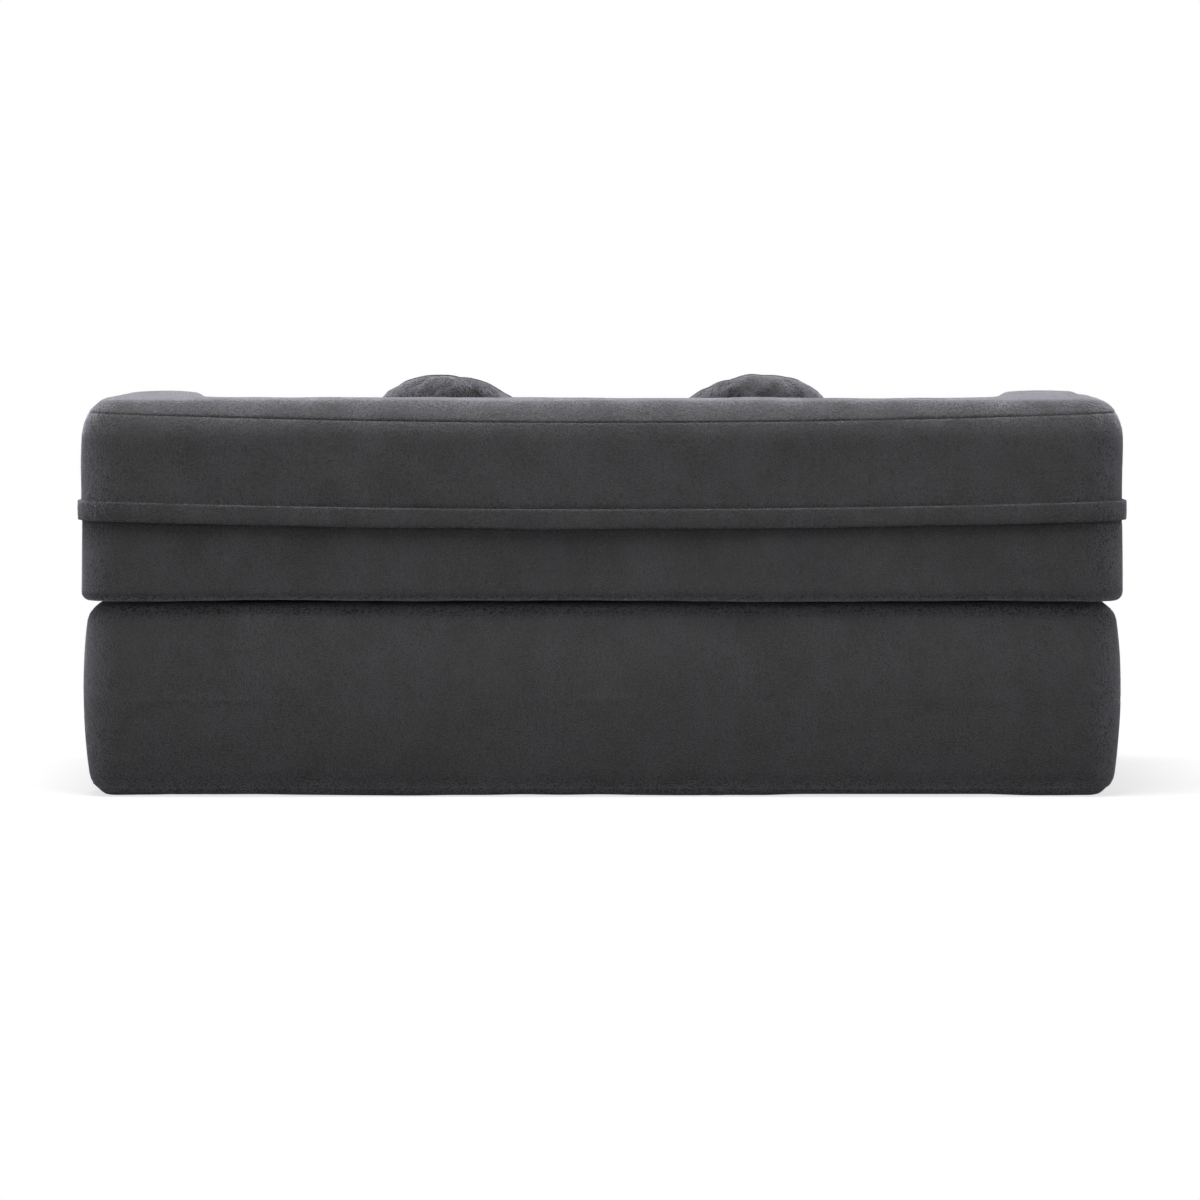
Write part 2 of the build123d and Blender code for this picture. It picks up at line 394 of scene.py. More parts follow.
def shade_smooth(mesh: Mesh) -> None:
    """Shades all faces of a mesh smooth."""
    mesh.polygons.foreach_set("use_smooth", np.ones(len(mesh.polygons), bool))


def plain_mesh(name: str, points: Array, faces: list) -> Mesh:
    """A mesh from points and the faces between them.

    Args:
        name: Its name.
        points: Places, in an array of any form that ends in x, y and z.
        faces: Indices of the points of each face.

    Returns:
        The mesh.
    """
    mesh = bpy.data.meshes.new(name)
    mesh.from_pydata(points.reshape(-1, 3).tolist(), [], faces)
    return mesh


@contextmanager
def editing(mesh: Mesh) -> Iterator[bmesh.types.BMesh]:
    """Opens a mesh to edit it, and writes it back afterwards.

    Args:
        mesh: The mesh.

    Yields:
        Its editable form.
    """
    work = bmesh.new()
    work.from_mesh(mesh)
    yield work
    work.to_mesh(mesh)
    work.free()


def skin(name: str, rows: list[Array], closed: bool = True) -> Object:
    """A mesh from rows of points.

    Args:
        name: Name of the piece.
        rows: Rings or strips of points, as many points in each.
        closed: Whether each row is a ring.

    Returns:
        The new object, with points at one place joined.
    """
    count = len(rows[0])
    index = np.arange(len(rows) * count).reshape(len(rows), count)
    if closed:
        index = np.concatenate([index, index[:, :1]], axis=1)
    low, high = index[:-1], index[1:]
    faces = np.stack([low[:, :-1], low[:, 1:], high[:, 1:], high[:, :-1]], axis=-1).reshape(-1, 4)
    return finish_mesh(name, plain_mesh(name, np.concatenate(rows), faces.tolist()))


def finish_mesh(name: str, mesh: Mesh) -> Object:
    """Joins double points, turns the faces outward and shades them smooth.

    Args:
        name: Name of the piece.
        mesh: Its mesh.

    Returns:
        The new object.
    """
    with editing(mesh) as work:
        bmesh.ops.remove_doubles(work, verts=work.verts, dist=0.02 * MM)
        bmesh.ops.dissolve_degenerate(work, edges=work.edges, dist=0.01 * MM)
        bmesh.ops.delete(work, geom=[v for v in work.verts if not v.link_faces], context="VERTS")
        bmesh.ops.recalc_face_normals(work, faces=work.faces)
    shade_smooth(mesh)
    return put(name, mesh)


def thick_sheet(name: str, outer: Array, inner: Array, kept: Array) -> Object:
    """A cloth of two layers joined along every edge.

    Args:
        name: Name of the piece.
        outer: Grid of the points of the outer layer.
        inner: Grid of the points of the inner layer.
        kept: Which cells of the grid the cloth covers.

    Returns:
        The new object.
    """
    rows, count = outer.shape[:2]
    top = np.arange(rows * count).reshape(rows, count)
    low = top + rows * count
    framed = np.pad(kept, 1)
    across = framed[:-1, 1:-1] != framed[1:, 1:-1]
    along = framed[1:-1, :-1] != framed[1:-1, 1:]
    layers = (
        np.stack([g[:-1, :-1], g[:-1, 1:], g[1:, 1:], g[1:, :-1]], axis=-1) for g in (top, low)
    )
    faces = [
        *(cells[kept] for cells in layers),
        np.stack([top[:, :-1], top[:, 1:], low[:, 1:], low[:, :-1]], axis=-1)[across],
        np.stack([top[:-1], top[1:], low[1:], low[:-1]], axis=-1)[along],
    ]
    points = np.concatenate([outer.reshape(-1, 3), inner.reshape(-1, 3)])
    return finish_mesh(name, plain_mesh(name, points, np.concatenate(faces).tolist()))


def close_ends(piece: Object) -> None:
    """Closes the open ends of a strip.

    Args:
        piece: The strip.
    """
    with editing(piece.data) as work:
        edges = [e for e in work.edges if e.is_boundary]
        if edges:
            bmesh.ops.holes_fill(work, edges=edges, sides=0)
            bmesh.ops.triangulate(work, faces=[f for f in work.faces if len(f.verts) > 4])
        bmesh.ops.recalc_face_normals(work, faces=work.faces)


def read_points(piece: Object) -> tuple[Array, Array]:
    """Places and normals of a mesh's points.

    Args:
        piece: The object to read.

    Returns:
        Places and normals, one row each.
    """
    count = len(piece.data.vertices)
    places, normals = np.empty(count * 3), np.empty(count * 3)
    piece.data.vertices.foreach_get("co", places)
    piece.data.vertices.foreach_get("normal", normals)
    return places.reshape(-1, 3), normals.reshape(-1, 3)


def write_points(piece: Object, places: Array) -> None:
    """Moves a mesh's points to new places, one row each."""
    piece.data.vertices.foreach_set("co", places.ravel())
    piece.data.update()


def at_height(plan: Array, height: float | Array) -> Array:
    """Plan points lifted to one height, or each to its own."""
    return np.column_stack([plan, np.broadcast_to(height, len(plan))])


def seam_height(x: Array) -> Array:
    """Height of the seam between the upright panels and the top panel of the bolster."""
    return SEAM_MIDDLE + SEAM_RISE * (x / SIZES.side) ** 2


def flap_lift(x: Array, y: Array) -> Array:
    """How far the flap sits above its plain place. It hangs lower in the middle of the back."""
    share = smooth_step(SIZES.front + 0.15, SIZES.back, y)
    return share * (FLAP_RISE * (x / SIZES.side) ** 2 - FLAP_SAG)


def barrel(height: Array | float) -> Array | float:
    """Inset of the two lower sections' walls, least at their middle.

    Args:
        height: One level, or one for each point.

    Returns:
        As many insets.
    """
    height = np.asarray(height, float)
    off = (height - BULGE_LEVEL) / np.where(height > BULGE_LEVEL, BULGE_HEAD, BULGE_LEVEL)
    return BULGE_INSET + np.where(off > 0, BULGE_ABOVE, BULGE_BELOW) * off**2


def zip_share(plan: Array) -> Array:
    """Share by which a place of the outline lies behind the front ends of the long zip."""
    return smooth_step(SIZES.zip_start - 4 * MM, SIZES.zip_start + 2 * MM, plan[:, 1])


@dataclass(frozen=True)
class Relief:
    """Softness of stretched cloth over foam, as small moves of a mesh."""

    sway: float = 1.1 * MM
    sway_length: float = 0.34
    ripple: float = 0.45 * MM
    ripple_length: float = 0.085
    crease: float = 0.5 * MM
    crease_length: float = 0.055
    seed: int = 3

    def apply(self, piece: Object, keep: Array | None = None) -> None:
        """Moves the points of a piece along their normals.

        Args:
            piece: The piece to soften.
            keep: Share of the move for each point, all of it if left out.
        """
        places, normals = read_points(piece)
        height = self.sway * waves(places, self.sway_length, self.seed)
        height += self.ripple * waves(places, self.ripple_length, self.seed + 1)
        fold = np.abs(waves(places, self.crease_length, self.seed + 2))
        where = smooth_step(0.1, 0.9, waves(places, 0.21, self.seed + 3))
        height -= self.crease * where * np.exp(-fold / 0.22)
        if keep is not None:
            height = height * keep
        write_points(piece, places + normals * height[:, None])


@dataclass
class SectionProfile:
    """Upright profile of a section: flat base, round edge, wall, round edge, flat top."""

    base: float
    top: float
    lower_radius: float
    upper_radius: float
    outline: Outline = field(default_factory=section_outline)
    face_steps: int = 15
    edge_steps: int = 7
    wall_steps: int = 14

    def edge_and_wall(self) -> list[tuple[float, float]]:
        """Lays out the rows from the lower edge to the upper edge.

        Returns:
            Inset and height of each row.
        """
        turns = np.linspace(0.0, QUARTER, self.edge_steps)
        low, high = self.lower_radius, self.upper_radius
        rows = [(low * (1 - math.sin(a)), self.base + low * (1 - math.cos(a))) for a in turns]
        bottom, top = self.base + low, self.top - high
        steps = np.linspace(bottom, top, self.wall_steps)[1:-1]
        rows += [(0.0, z) for z in steps]
        rows += [(high * (1 - math.cos(a)), top + high * math.sin(a)) for a in turns]
        return rows

    def rows(self) -> list[Array]:
        """Lays out the rings from the middle of the underside to the middle of the top.

        Returns:
            The rings.
        """
        edges = self.edge_and_wall()
        first, last = edges[0], edges[-1]
        under = self.outline.ring(first[0])
        over = self.outline.ring(last[0])
        under_line, over_line = centre_line(under), centre_line(over)
        shares = np.linspace(1.0, 0.0, self.face_steps)[:-1]
        rings = [at_height(under + (under_line - under) * t, first[1]) for t in shares]
        rings += [self.outline.at(inset, z) for inset, z in edges]
        rings += [at_height(over + (over_line - over) * t, last[1]) for t in shares[::-1]]
        return rings


class Links:
    """Short calls to lay out and join a material's nodes."""

    def __init__(self, tree: Tree) -> None:
        """Keeps the tree that is built."""
        self.tree = tree
        self.column = 0

    def feed(self, node: bpy.types.Node, inputs: dict) -> None:
        """Joins an output to each input of a node, or sets the input's own value.

        Args:
            node: The node.
            inputs: Output sockets or values, by the input's name or place.
        """
        for key, value in inputs.items():
            if isinstance(value, Socket):
                self.tree.links.new(value, node.inputs[key])
            else:
                node.inputs[key].default_value = value

    def add(self, kind: str, inputs: dict | None = None, **settings: object) -> bpy.types.Node:
        """Adds a node.

        Args:
            kind: Its type.
            inputs: Values or output sockets for its inputs, by name or place.
            **settings: Its other settings.

        Returns:
            The node.
        """
        node = self.tree.nodes.new(kind)
        self.column += 1
        node.location = (180 * self.column, 0)
        for key, value in settings.items():
            setattr(node, key, value)
        self.feed(node, inputs or {})
        return node

    def math(self, operation: str, first: object, second: object = 0.0) -> Socket:
        """The output of a new Math node."""
        return self.add("ShaderNodeMath", {0: first, 1: second}, operation=operation).outputs[0]

    def vector(self, operation: str, first: object, second: object) -> Socket:
        """The output of a new Vector Math node."""
        inputs = {0: first, 1: second}
        return self.add("ShaderNodeVectorMath", inputs, operation=operation).outputs[0]

    def noise(self, place: object, scale: object, detail: float, rough: float = 0.5) -> Socket:
        """The value of a new Noise Texture."""
        inputs = {"Vector": place, "Scale": scale, "Detail": detail, "Roughness": rough}
        return self.add("ShaderNodeTexNoise", inputs).outputs[0]

    def spread(self, value: object, low: float, high: float, start: float, end: float) -> Socket:
        """The result of a new smooth Map Range node, which takes low to start and high to end."""
        inputs = {"Value": value, "From Min": low, "From Max": high, "To Min": start, "To Max": end}
        return self.add("ShaderNodeMapRange", inputs, interpolation_type="SMOOTHSTEP").outputs[0]

    def group(self, tree: Tree, **inputs: object) -> bpy.types.bpy_prop_collection:
        """The outputs of a shared effect. A blank in an input's name is written as _ here."""
        named = {key.replace("_", " "): value for key, value in inputs.items()}
        return self.add("ShaderNodeGroup", named, node_tree=tree).outputs

    def in_sight(self) -> Socket:
        """Tells rays of the camera, and what is seen in gloss or through a surface, from others.

        Returns:
            1 for those rays, else 0.
        """
        ray = self.add("ShaderNodeLightPath").outputs
        through = self.math("MAXIMUM", ray["Is Glossy Ray"], ray["Is Transmission Ray"])
        return self.math("MAXIMUM", ray["Is Camera Ray"], through)

    def white(self, strength: object) -> Socket:
        """The output of a new white glow."""
        inputs = {"Color": (1, 1, 1, 1), "Strength": strength}
        return self.add("ShaderNodeEmission", inputs).outputs[0]


class Effects:
    """Shader node groups that several finishes share, each built once."""

    @staticmethod
    def start(name: str, inputs: dict[str, float], outputs: tuple[str, ...]) -> tuple:
        """Makes an empty group.

        Args:
            name: Its name.
            inputs: Its numbers with their plain values. A place in space comes first.
            outputs: Names of its values.

        Returns:
            The group's node helper, its inputs' values and its output node.
        """
        group = bpy.data.node_groups.new(name, "ShaderNodeTree")
        group.interface.new_socket("Place", in_out="INPUT", socket_type="NodeSocketVector")
        for key, value in inputs.items():
            socket = group.interface.new_socket(key, in_out="INPUT", socket_type="NodeSocketFloat")
            socket.default_value = value
        for key in outputs:
            group.interface.new_socket(key, in_out="OUTPUT", socket_type="NodeSocketFloat")
        links = Links(group)
        return links, links.add("NodeGroupInput").outputs, links.add("NodeGroupOutput")

    @staticmethod
    @cache
    def pile() -> Tree:
        """Brushed pile: patches that lie light or dark, fibres, crumples and a coarse grain, with
        painted shade in the grain's creases.

        Returns:
            The group.
        """
        plain = {
            "Patch Scale": 11.0, "Patch Strength": 0.16, "Crumple Scale": 55.0,
            "Grain Scale": 190.0, "Grain Shade": 0.35,
        }
        outputs = ("Shade", "Height", "Crumple", "Grain")
        links, given, made = Effects.start("brushed_pile", plain, outputs)
        place = given["Place"]
        warp = links.add("ShaderNodeTexNoise", {"Vector": place, "Scale": 6.0, "Detail": 2.0})
        bend = links.vector("MULTIPLY", warp.outputs["Color"], (0.09, 0.09, 0.09))
        bent = links.vector("ADD", place, bend)
        patch = links.noise(bent, given["Patch Scale"], 5.0, 0.62)
        patch = links.spread(patch, 0.32, 0.68, -1.0, 1.0)
        cloud = links.spread(links.noise(place, 90.0, 4.0, 0.6), 0.3, 0.7, -0.45, 0.45)
        fibre = links.noise(place, 1500.0, 2.0)
        speck = links.spread(fibre, 0.3, 0.7, -0.35, 0.35)
        nap = links.math("ADD", links.math("ADD", patch, cloud), speck)
        grain = links.noise(bent, given["Grain Scale"], 3.0, 0.62)
        crease = links.math("ABSOLUTE", links.math("SUBTRACT", grain, 0.5))
        relief = links.math("ADD", links.spread(crease, 0.0, 0.07, 0.0, 0.75), grain)
        # Painted shade: the colour is darkened along the grain's creases, as much as Grain Shade
        # says.
        shade_term = links.math("MULTIPLY", links.math("SUBTRACT", relief, 1.0), given["Grain Shade"])
        shade = links.math("ADD", links.math("MULTIPLY", nap, given["Patch Strength"]), shade_term)
        crumple = links.noise(bent, given["Crumple Scale"], 3.0)
        shade = links.math("ADD", shade, 1.0)
        # Shade holds the nap's random tone and the painted shade in the grain's creases.
        links.feed(made, {"Shade": shade, "Height": fibre, "Crumple": crumple, "Grain": relief})
        return links.tree

    @staticmethod
    @cache
    def weave() -> Tree:
        """Plain weave: threads over and under each other.

        Returns:
            The group.
        """
        links, given, made = Effects.start("plain_weave", {"Threads": 900.0}, ("Height", "Gap"))
        x, y, z = links.add("ShaderNodeSeparateXYZ", {0: given["Place"]}).outputs
        across, along, flat = (
            links.math("SINE", links.math("MULTIPLY", way, given["Threads"]))
            for way in (links.math("ADD", x, y), z, links.math("SUBTRACT", x, y))
        )
        over = links.math("MULTIPLY", across, along)
        height = links.math("ADD", over, links.math("MULTIPLY", flat, 0.5))
        level = links.spread(height, -1.5, 1.5, 0.0, 1.0)
        # Gap marks the gaps between threads, where the woven finish paints shade.
        links.feed(made, {"Height": level, "Gap": links.spread(height, -1.5, -0.2, 1.0, 0.0)})
        return links.tree

    @staticmethod
    @cache
    def wear() -> Tree:
        """Rub and dust: a soft irregular mask.

        Returns:
            The group.
        """
        links, given, made = Effects.start("rub_and_dust", {"Scale": 9.0, "Amount": 0.3}, ("Mask",))
        place = given["Place"]
        broad = links.spread(links.noise(place, given["Scale"], 6.0), 0.42, 0.75, 0.0, 1.0)
        fine = links.spread(links.noise(place, 400.0, 3.0), 0.3, 0.7, 0.4, 1.0)
        mask = links.math("MULTIPLY", broad, fine)
        links.feed(made, {"Mask": links.math("MULTIPLY", mask, given["Amount"])})
        return links.tree


@dataclass(frozen=True)
class Finish:
    """A finish that a piece can be dressed in."""

    slot: str
    name: str
    colour: tuple[float, float, float]

    def material(self) -> bpy.types.Material:
        """Makes the finish's material, once.

        Returns:
            The material.
        """
        found = bpy.data.materials.get(self.name)
        if found:
            return found
        made = bpy.data.materials.new(self.name)
        made.use_nodes = True
        made.node_tree.nodes.clear()
        links = Links(made.node_tree)
        place = links.add("ShaderNodeTexCoord").outputs["Object"]
        shader = links.add("ShaderNodeBsdfPrincipled")
        links.add("ShaderNodeOutputMaterial", {0: shader.outputs[0]})
        links.feed(shader, self.looks(links, place))
        return made

    def looks(self, links: Links, place: Socket) -> dict[str, object]:
        """The shader's inputs: colour alone. Each kind of finish gives more."""
        return {"Base Color": (*self.colour, 1.0)}

    def dress(self, piece: Object) -> None:
        """Puts the material on a piece, in place of what it had."""
        piece.data.materials.clear()
        piece.data.materials.append(self.material())

    def tinted(self, links: Links, shade: Socket) -> Socket:
        """The finish's colour times a shade of about 1."""
        return links.vector("MULTIPLY", self.colour, shade)

    def bumped(self, links: Links, height: object, depth: float, under: object = None) -> Socket:
        """A normal bumped by a relief.

        Args:
            links: Helper of the material's tree.
            height: The relief's height.
            depth: How deep it is.
            under: A normal that it adds to.

        Returns:
            The bumped normal.
        """
        inputs = {"Height": height, "Distance": depth, "Strength": 1.0}
        if under is not None:
            inputs["Normal"] = under
        return links.add("ShaderNodeBump", inputs).outputs[0]


@dataclass(frozen=True)
class VelourFinish(Finish):
    """Suede-like velour with a short brushed pile."""

    patch_scale: float = 11.0
    patch_strength: float = 0.15
    crumple_scale: float = 55.0
    crumple_depth: float = 1.2 * MM
    grain_scale: float = 190.0
    grain_depth: float = 1.4 * MM
    # Strength of the painted shade in the grain's creases.
    grain_shade: float = 0.5
    fibre_depth: float = 0.12 * MM
    sheen: float = 1.0
    sheen_roughness: float = 0.4

    def looks(self, links: Links, place: Socket) -> dict[str, object]:
        """Colour that varies with the nap, with painted shade in the grain's creases, a soft sheen,
        fibres and small crumples.

        Args:
            links: Helper of the material's tree.
            place: Coordinates on the piece.

        Returns:
            Values and output sockets for the shader's inputs.
        """
        pile = links.group(
            Effects.pile(), Place=place,
            Patch_Scale=self.patch_scale, Patch_Strength=self.patch_strength,
            Crumple_Scale=self.crumple_scale,
            Grain_Scale=self.grain_scale, Grain_Shade=self.grain_shade,
        )
        wear = links.group(Effects.wear(), Place=place)
        soft = self.bumped(links, pile["Crumple"], self.crumple_depth)
        grained = self.bumped(links, pile["Grain"], self.grain_depth, soft)
        return {
            # Colour: the pile's random tone, rub and dust, and painted shade in the grain's
            # creases.
            "Base Color": self.tinted(links, links.math("ADD", pile["Shade"], wear["Mask"])),
            "Roughness": links.spread(pile["Shade"], 0.7, 1.3, 0.58, 0.72),
            "Normal": self.bumped(links, pile["Height"], self.fibre_depth, grained),
            "Specular IOR Level": 0.22,
            "Sheen Weight": self.sheen,
            "Sheen Roughness": self.sheen_roughness,
            "Sheen Tint": (0.9, 0.87, 1.0, 1.0),
        }


@dataclass(frozen=True)
class ThreadFinish(Finish):
    """Twisted sewing thread."""

    twists: float = 900.0
    relief: float = 0.1 * MM

    def looks(self, links: Links, place: Socket) -> dict[str, object]:
        """Colour with small changes from stitch to stitch, and the thread's twist.

        Args:
            links: Helper of the material's tree.
            place: Coordinates on the piece.

        Returns:
            Values and output sockets for the shader's inputs.
        """
        patch = links.spread(links.noise(place, 160.0, 2.0), 0.3, 0.7, 0.75, 1.25)
        inputs = {"Vector": place, "Scale": self.twists, "Distortion": 1.0}
        wave = links.add("ShaderNodeTexWave", inputs, bands_direction="DIAGONAL")
        return {
            "Base Color": self.tinted(links, patch),
            "Normal": self.bumped(links, wave.outputs[1], self.relief),
            "Roughness": 0.62,
            "Sheen Weight": 0.2,
        }


@dataclass(frozen=True)
class WovenFinish(Finish):
    """Woven tape or grip cloth."""

    threads: float = 4200.0
    relief: float = 0.22 * MM
    rough_low: float = 0.95
    rough_top: float = 0.77

    def looks(self, links: Links, place: Socket) -> dict[str, object]:
        """Threads in two directions, painted shade in the gaps between them, and a little dust.

        Args:
            links: Helper of the material's tree.
            place: Coordinates on the piece.

        Returns:
            Values and output sockets for the shader's inputs.
        """
        weave = links.group(Effects.weave(), Place=place, Threads=self.threads)
        wear = links.group(Effects.wear(), Place=place, Scale=14.0)
        shade_term = links.math("ADD", wear["Mask"], 1.0)
        # Painted shade: the gaps between threads are darkened in the colour.
        shade = links.math("SUBTRACT", shade_term, links.math("MULTIPLY", weave["Gap"], 0.45))
        return {
            "Base Color": self.tinted(links, shade),
            "Roughness": links.spread(weave["Height"], 0.0, 1.0, self.rough_low, self.rough_top),
            "Normal": self.bumped(links, weave["Height"], self.relief),
            "Sheen Weight": 0.15,
        }


@dataclass(frozen=True)
class HardFinish(Finish):
    """Moulded plastic, rubber or plated metal, with fine scratches or a moulded grain."""

    metal: float = 0.0
    rough: float = 0.45
    grain: float = 500.0
    relief: float = 0.03 * MM

    def looks(self, links: Links, place: Socket) -> dict[str, object]:
        """Colour with rubbed spots, uneven gloss and a fine grain.

        Args:
            links: Helper of the material's tree.
            place: Coordinates on the piece.

        Returns:
            Values and output sockets for the shader's inputs.
        """
        rubbed = links.group(Effects.wear(), Place=place, Scale=60.0, Amount=0.5)["Mask"]
        return {
            "Base Color": self.tinted(links, links.math("ADD", rubbed, 0.85)),
            "Roughness": links.spread(rubbed, 0.0, 0.5, self.rough, self.rough + 0.18),
            "Normal": self.bumped(links, links.noise(place, self.grain, 3.0), self.relief),
            "Metallic": self.metal,
        }


@dataclass(frozen=True)
class Wardrobe:
    """All finishes of the sofa."""

    velour: Finish = VelourFinish("velour", "charcoal_velour", (0.026, 0.026, 0.0255))
    pillow: Finish = VelourFinish(
        "pillow_velour",
        "coarse_pillow_velour",
        (0.024, 0.024, 0.025),
        patch_scale=24.0,
        patch_strength=0.2,
        crumple_scale=42.0,
        crumple_depth=1.5 * MM,
        grain_scale=150.0,
        grain_depth=1.7 * MM,
        grain_shade=0.4,
        sheen=0.75,
    )
    thread: Finish = ThreadFinish("velour", "charcoal_thread", (0.036, 0.036, 0.037))
    grip: Finish = WovenFinish(
        "grip_cloth", "woven_grip_cloth", (0.018, 0.018, 0.019), threads=2600.0
    )
    dots: Finish = HardFinish("grip_cloth", "rubber_grip_dots", (0.026, 0.026, 0.027), rough=0.6)
    tape: Finish = WovenFinish(
        "zip_tape", "woven_zip_tape", (0.014, 0.014, 0.015), threads=5200.0, relief=0.15 * MM
    )
    coil: Finish = HardFinish("zip_chain", "zip_coil_plastic", (0.020, 0.020, 0.021), rough=0.38)
    metal: Finish = HardFinish(
        "zip_metal", "zip_slider_metal", (0.11, 0.11, 0.115), metal=1.0, rough=0.34
    )


def pad_out(piece: Object, cloth: Finish, body: str, *nodes: str) -> Object:
    """Makes a mesh the padded cover of a body.

    Args:
        piece: The cover.
        cloth: Its finish.
        body: The body it rides on.
        *nodes: The solids that it stands for.

    Returns:
        The cover.
    """
    cloth.dress(piece)
    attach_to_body(piece, body)
    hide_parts(*nodes)
    log.info("%s: %d points", piece.name, len(piece.data.vertices))
    return piece


def attach(piece: Object, finish: Finish, body: str) -> None:
    """Dresses a piece and sets it on its body.

    Args:
        piece: The piece.
        finish: Its finish.
        body: The body it rides on.
    """
    finish.dress(piece)
    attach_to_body(piece, body)


@dataclass
class Section:
    """Cover of one of the two lower sections of the folded mattress."""

    body: str
    base: float
    top: float
    lower_radius: float
    upper_radius: float
    zip_height: float
    seed: int
    zip_reach: tuple[float, float] = (30 * MM, 18 * MM)

    def build(self, cloth: Finish) -> Object:
        """Builds the stretched cover of the section.

        Args:
            cloth: Finish of the cover.

        Returns:
            The cover.
        """
        profile = SectionProfile(self.base, self.top, self.lower_radius, self.upper_radius)
        piece = skin(f"{self.body}_section_cover", profile.rows())
        places = read_points(piece)[0]
        places = shrink_plan(places, barrel(places[:, 2]) + PANEL_ROOM * panel_cover(places))
        write_points(piece, places)
        Relief(seed=self.seed).apply(piece, self.loose_share(places))
        nodes = (f"{self.body}_{part}" for part in ("cover", "support_foam", "comfort_foam"))
        return pad_out(piece, cloth, self.body, *nodes)

    def loose_share(self, places: Array) -> Array:
        """Share of the cloth's softness, less where the zip or the grip cloth is sewn on.

        Args:
            places: Points of the cover.

        Returns:
            One share for each point.
        """
        along, up = self.zip_reach
        near_zip = bell(places[:, 2] - self.zip_height, up) * (places[:, 0] < -SIZES.side + along)
        return (1.0 - 0.9 * near_zip) * (1.0 - under_grip(places, f"{self.body}_grip_panel"))


def under_grip(places: Array, node: str) -> Array:
    """Share by which grip cloth lies on a place.

    Args:
        places: Points of a section's cover.
        node: Solid of the grip cloth.

    Returns:
        One share for each point.
    """
    low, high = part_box(node)
    share = bell(places[:, 2] - (low.z + high.z) / 2, 6 * MM)
    for axis in range(2):
        off = np.abs(places[:, axis] - (low[axis] + high[axis]) / 2) - (high[axis] - low[axis]) / 2
        share = share * (1 - smooth_step(4 * MM, 16 * MM, off))
    return share


def shrink_plan(places: Array, inset: Array) -> Array:
    """Moves points of the sections' walls inward in plan.

    Args:
        places: Points on a section with the shared outline.
        inset: How far each moves.

    Returns:
        The moved points.
    """
    s = SIZES
    half = np.array([s.side, (s.back - s.front) / 2])
    local = places[:, :2] - np.array([0.0, (s.back + s.front) / 2])
    away = local - np.clip(local, PLAN_RADIUS - half, half - PLAN_RADIUS)
    reach = np.linalg.norm(away, axis=1)
    direction = away / np.maximum(reach, 1e-6)[:, None]
    moved = places.copy()
    moved[:, :2] -= direction * (inset * smooth_step(0.0, PLAN_RADIUS, reach))[:, None]
    return moved


def front_reach(places: Array) -> Array:
    """Share by which a place lies as far forward as the front fold panel."""
    return step_at(-SIZES.front - SIZES.panel_wrap, PANEL_EDGE, -places[:, 1])


def panel_cover(places: Array) -> Array:
    """Share by which a fold panel covers a place of the two lower sections.

    Args:
        places: Points of a section's cover.

    Returns:
        One share for each point.
    """
    behind = step_at(SIZES.back - SIZES.panel_wrap, PANEL_EDGE, places[:, 1])
    above = step_at(SIZES.front_panel_low, PANEL_EDGE, places[:, 2])
    return np.maximum(behind, front_reach(places) * above)


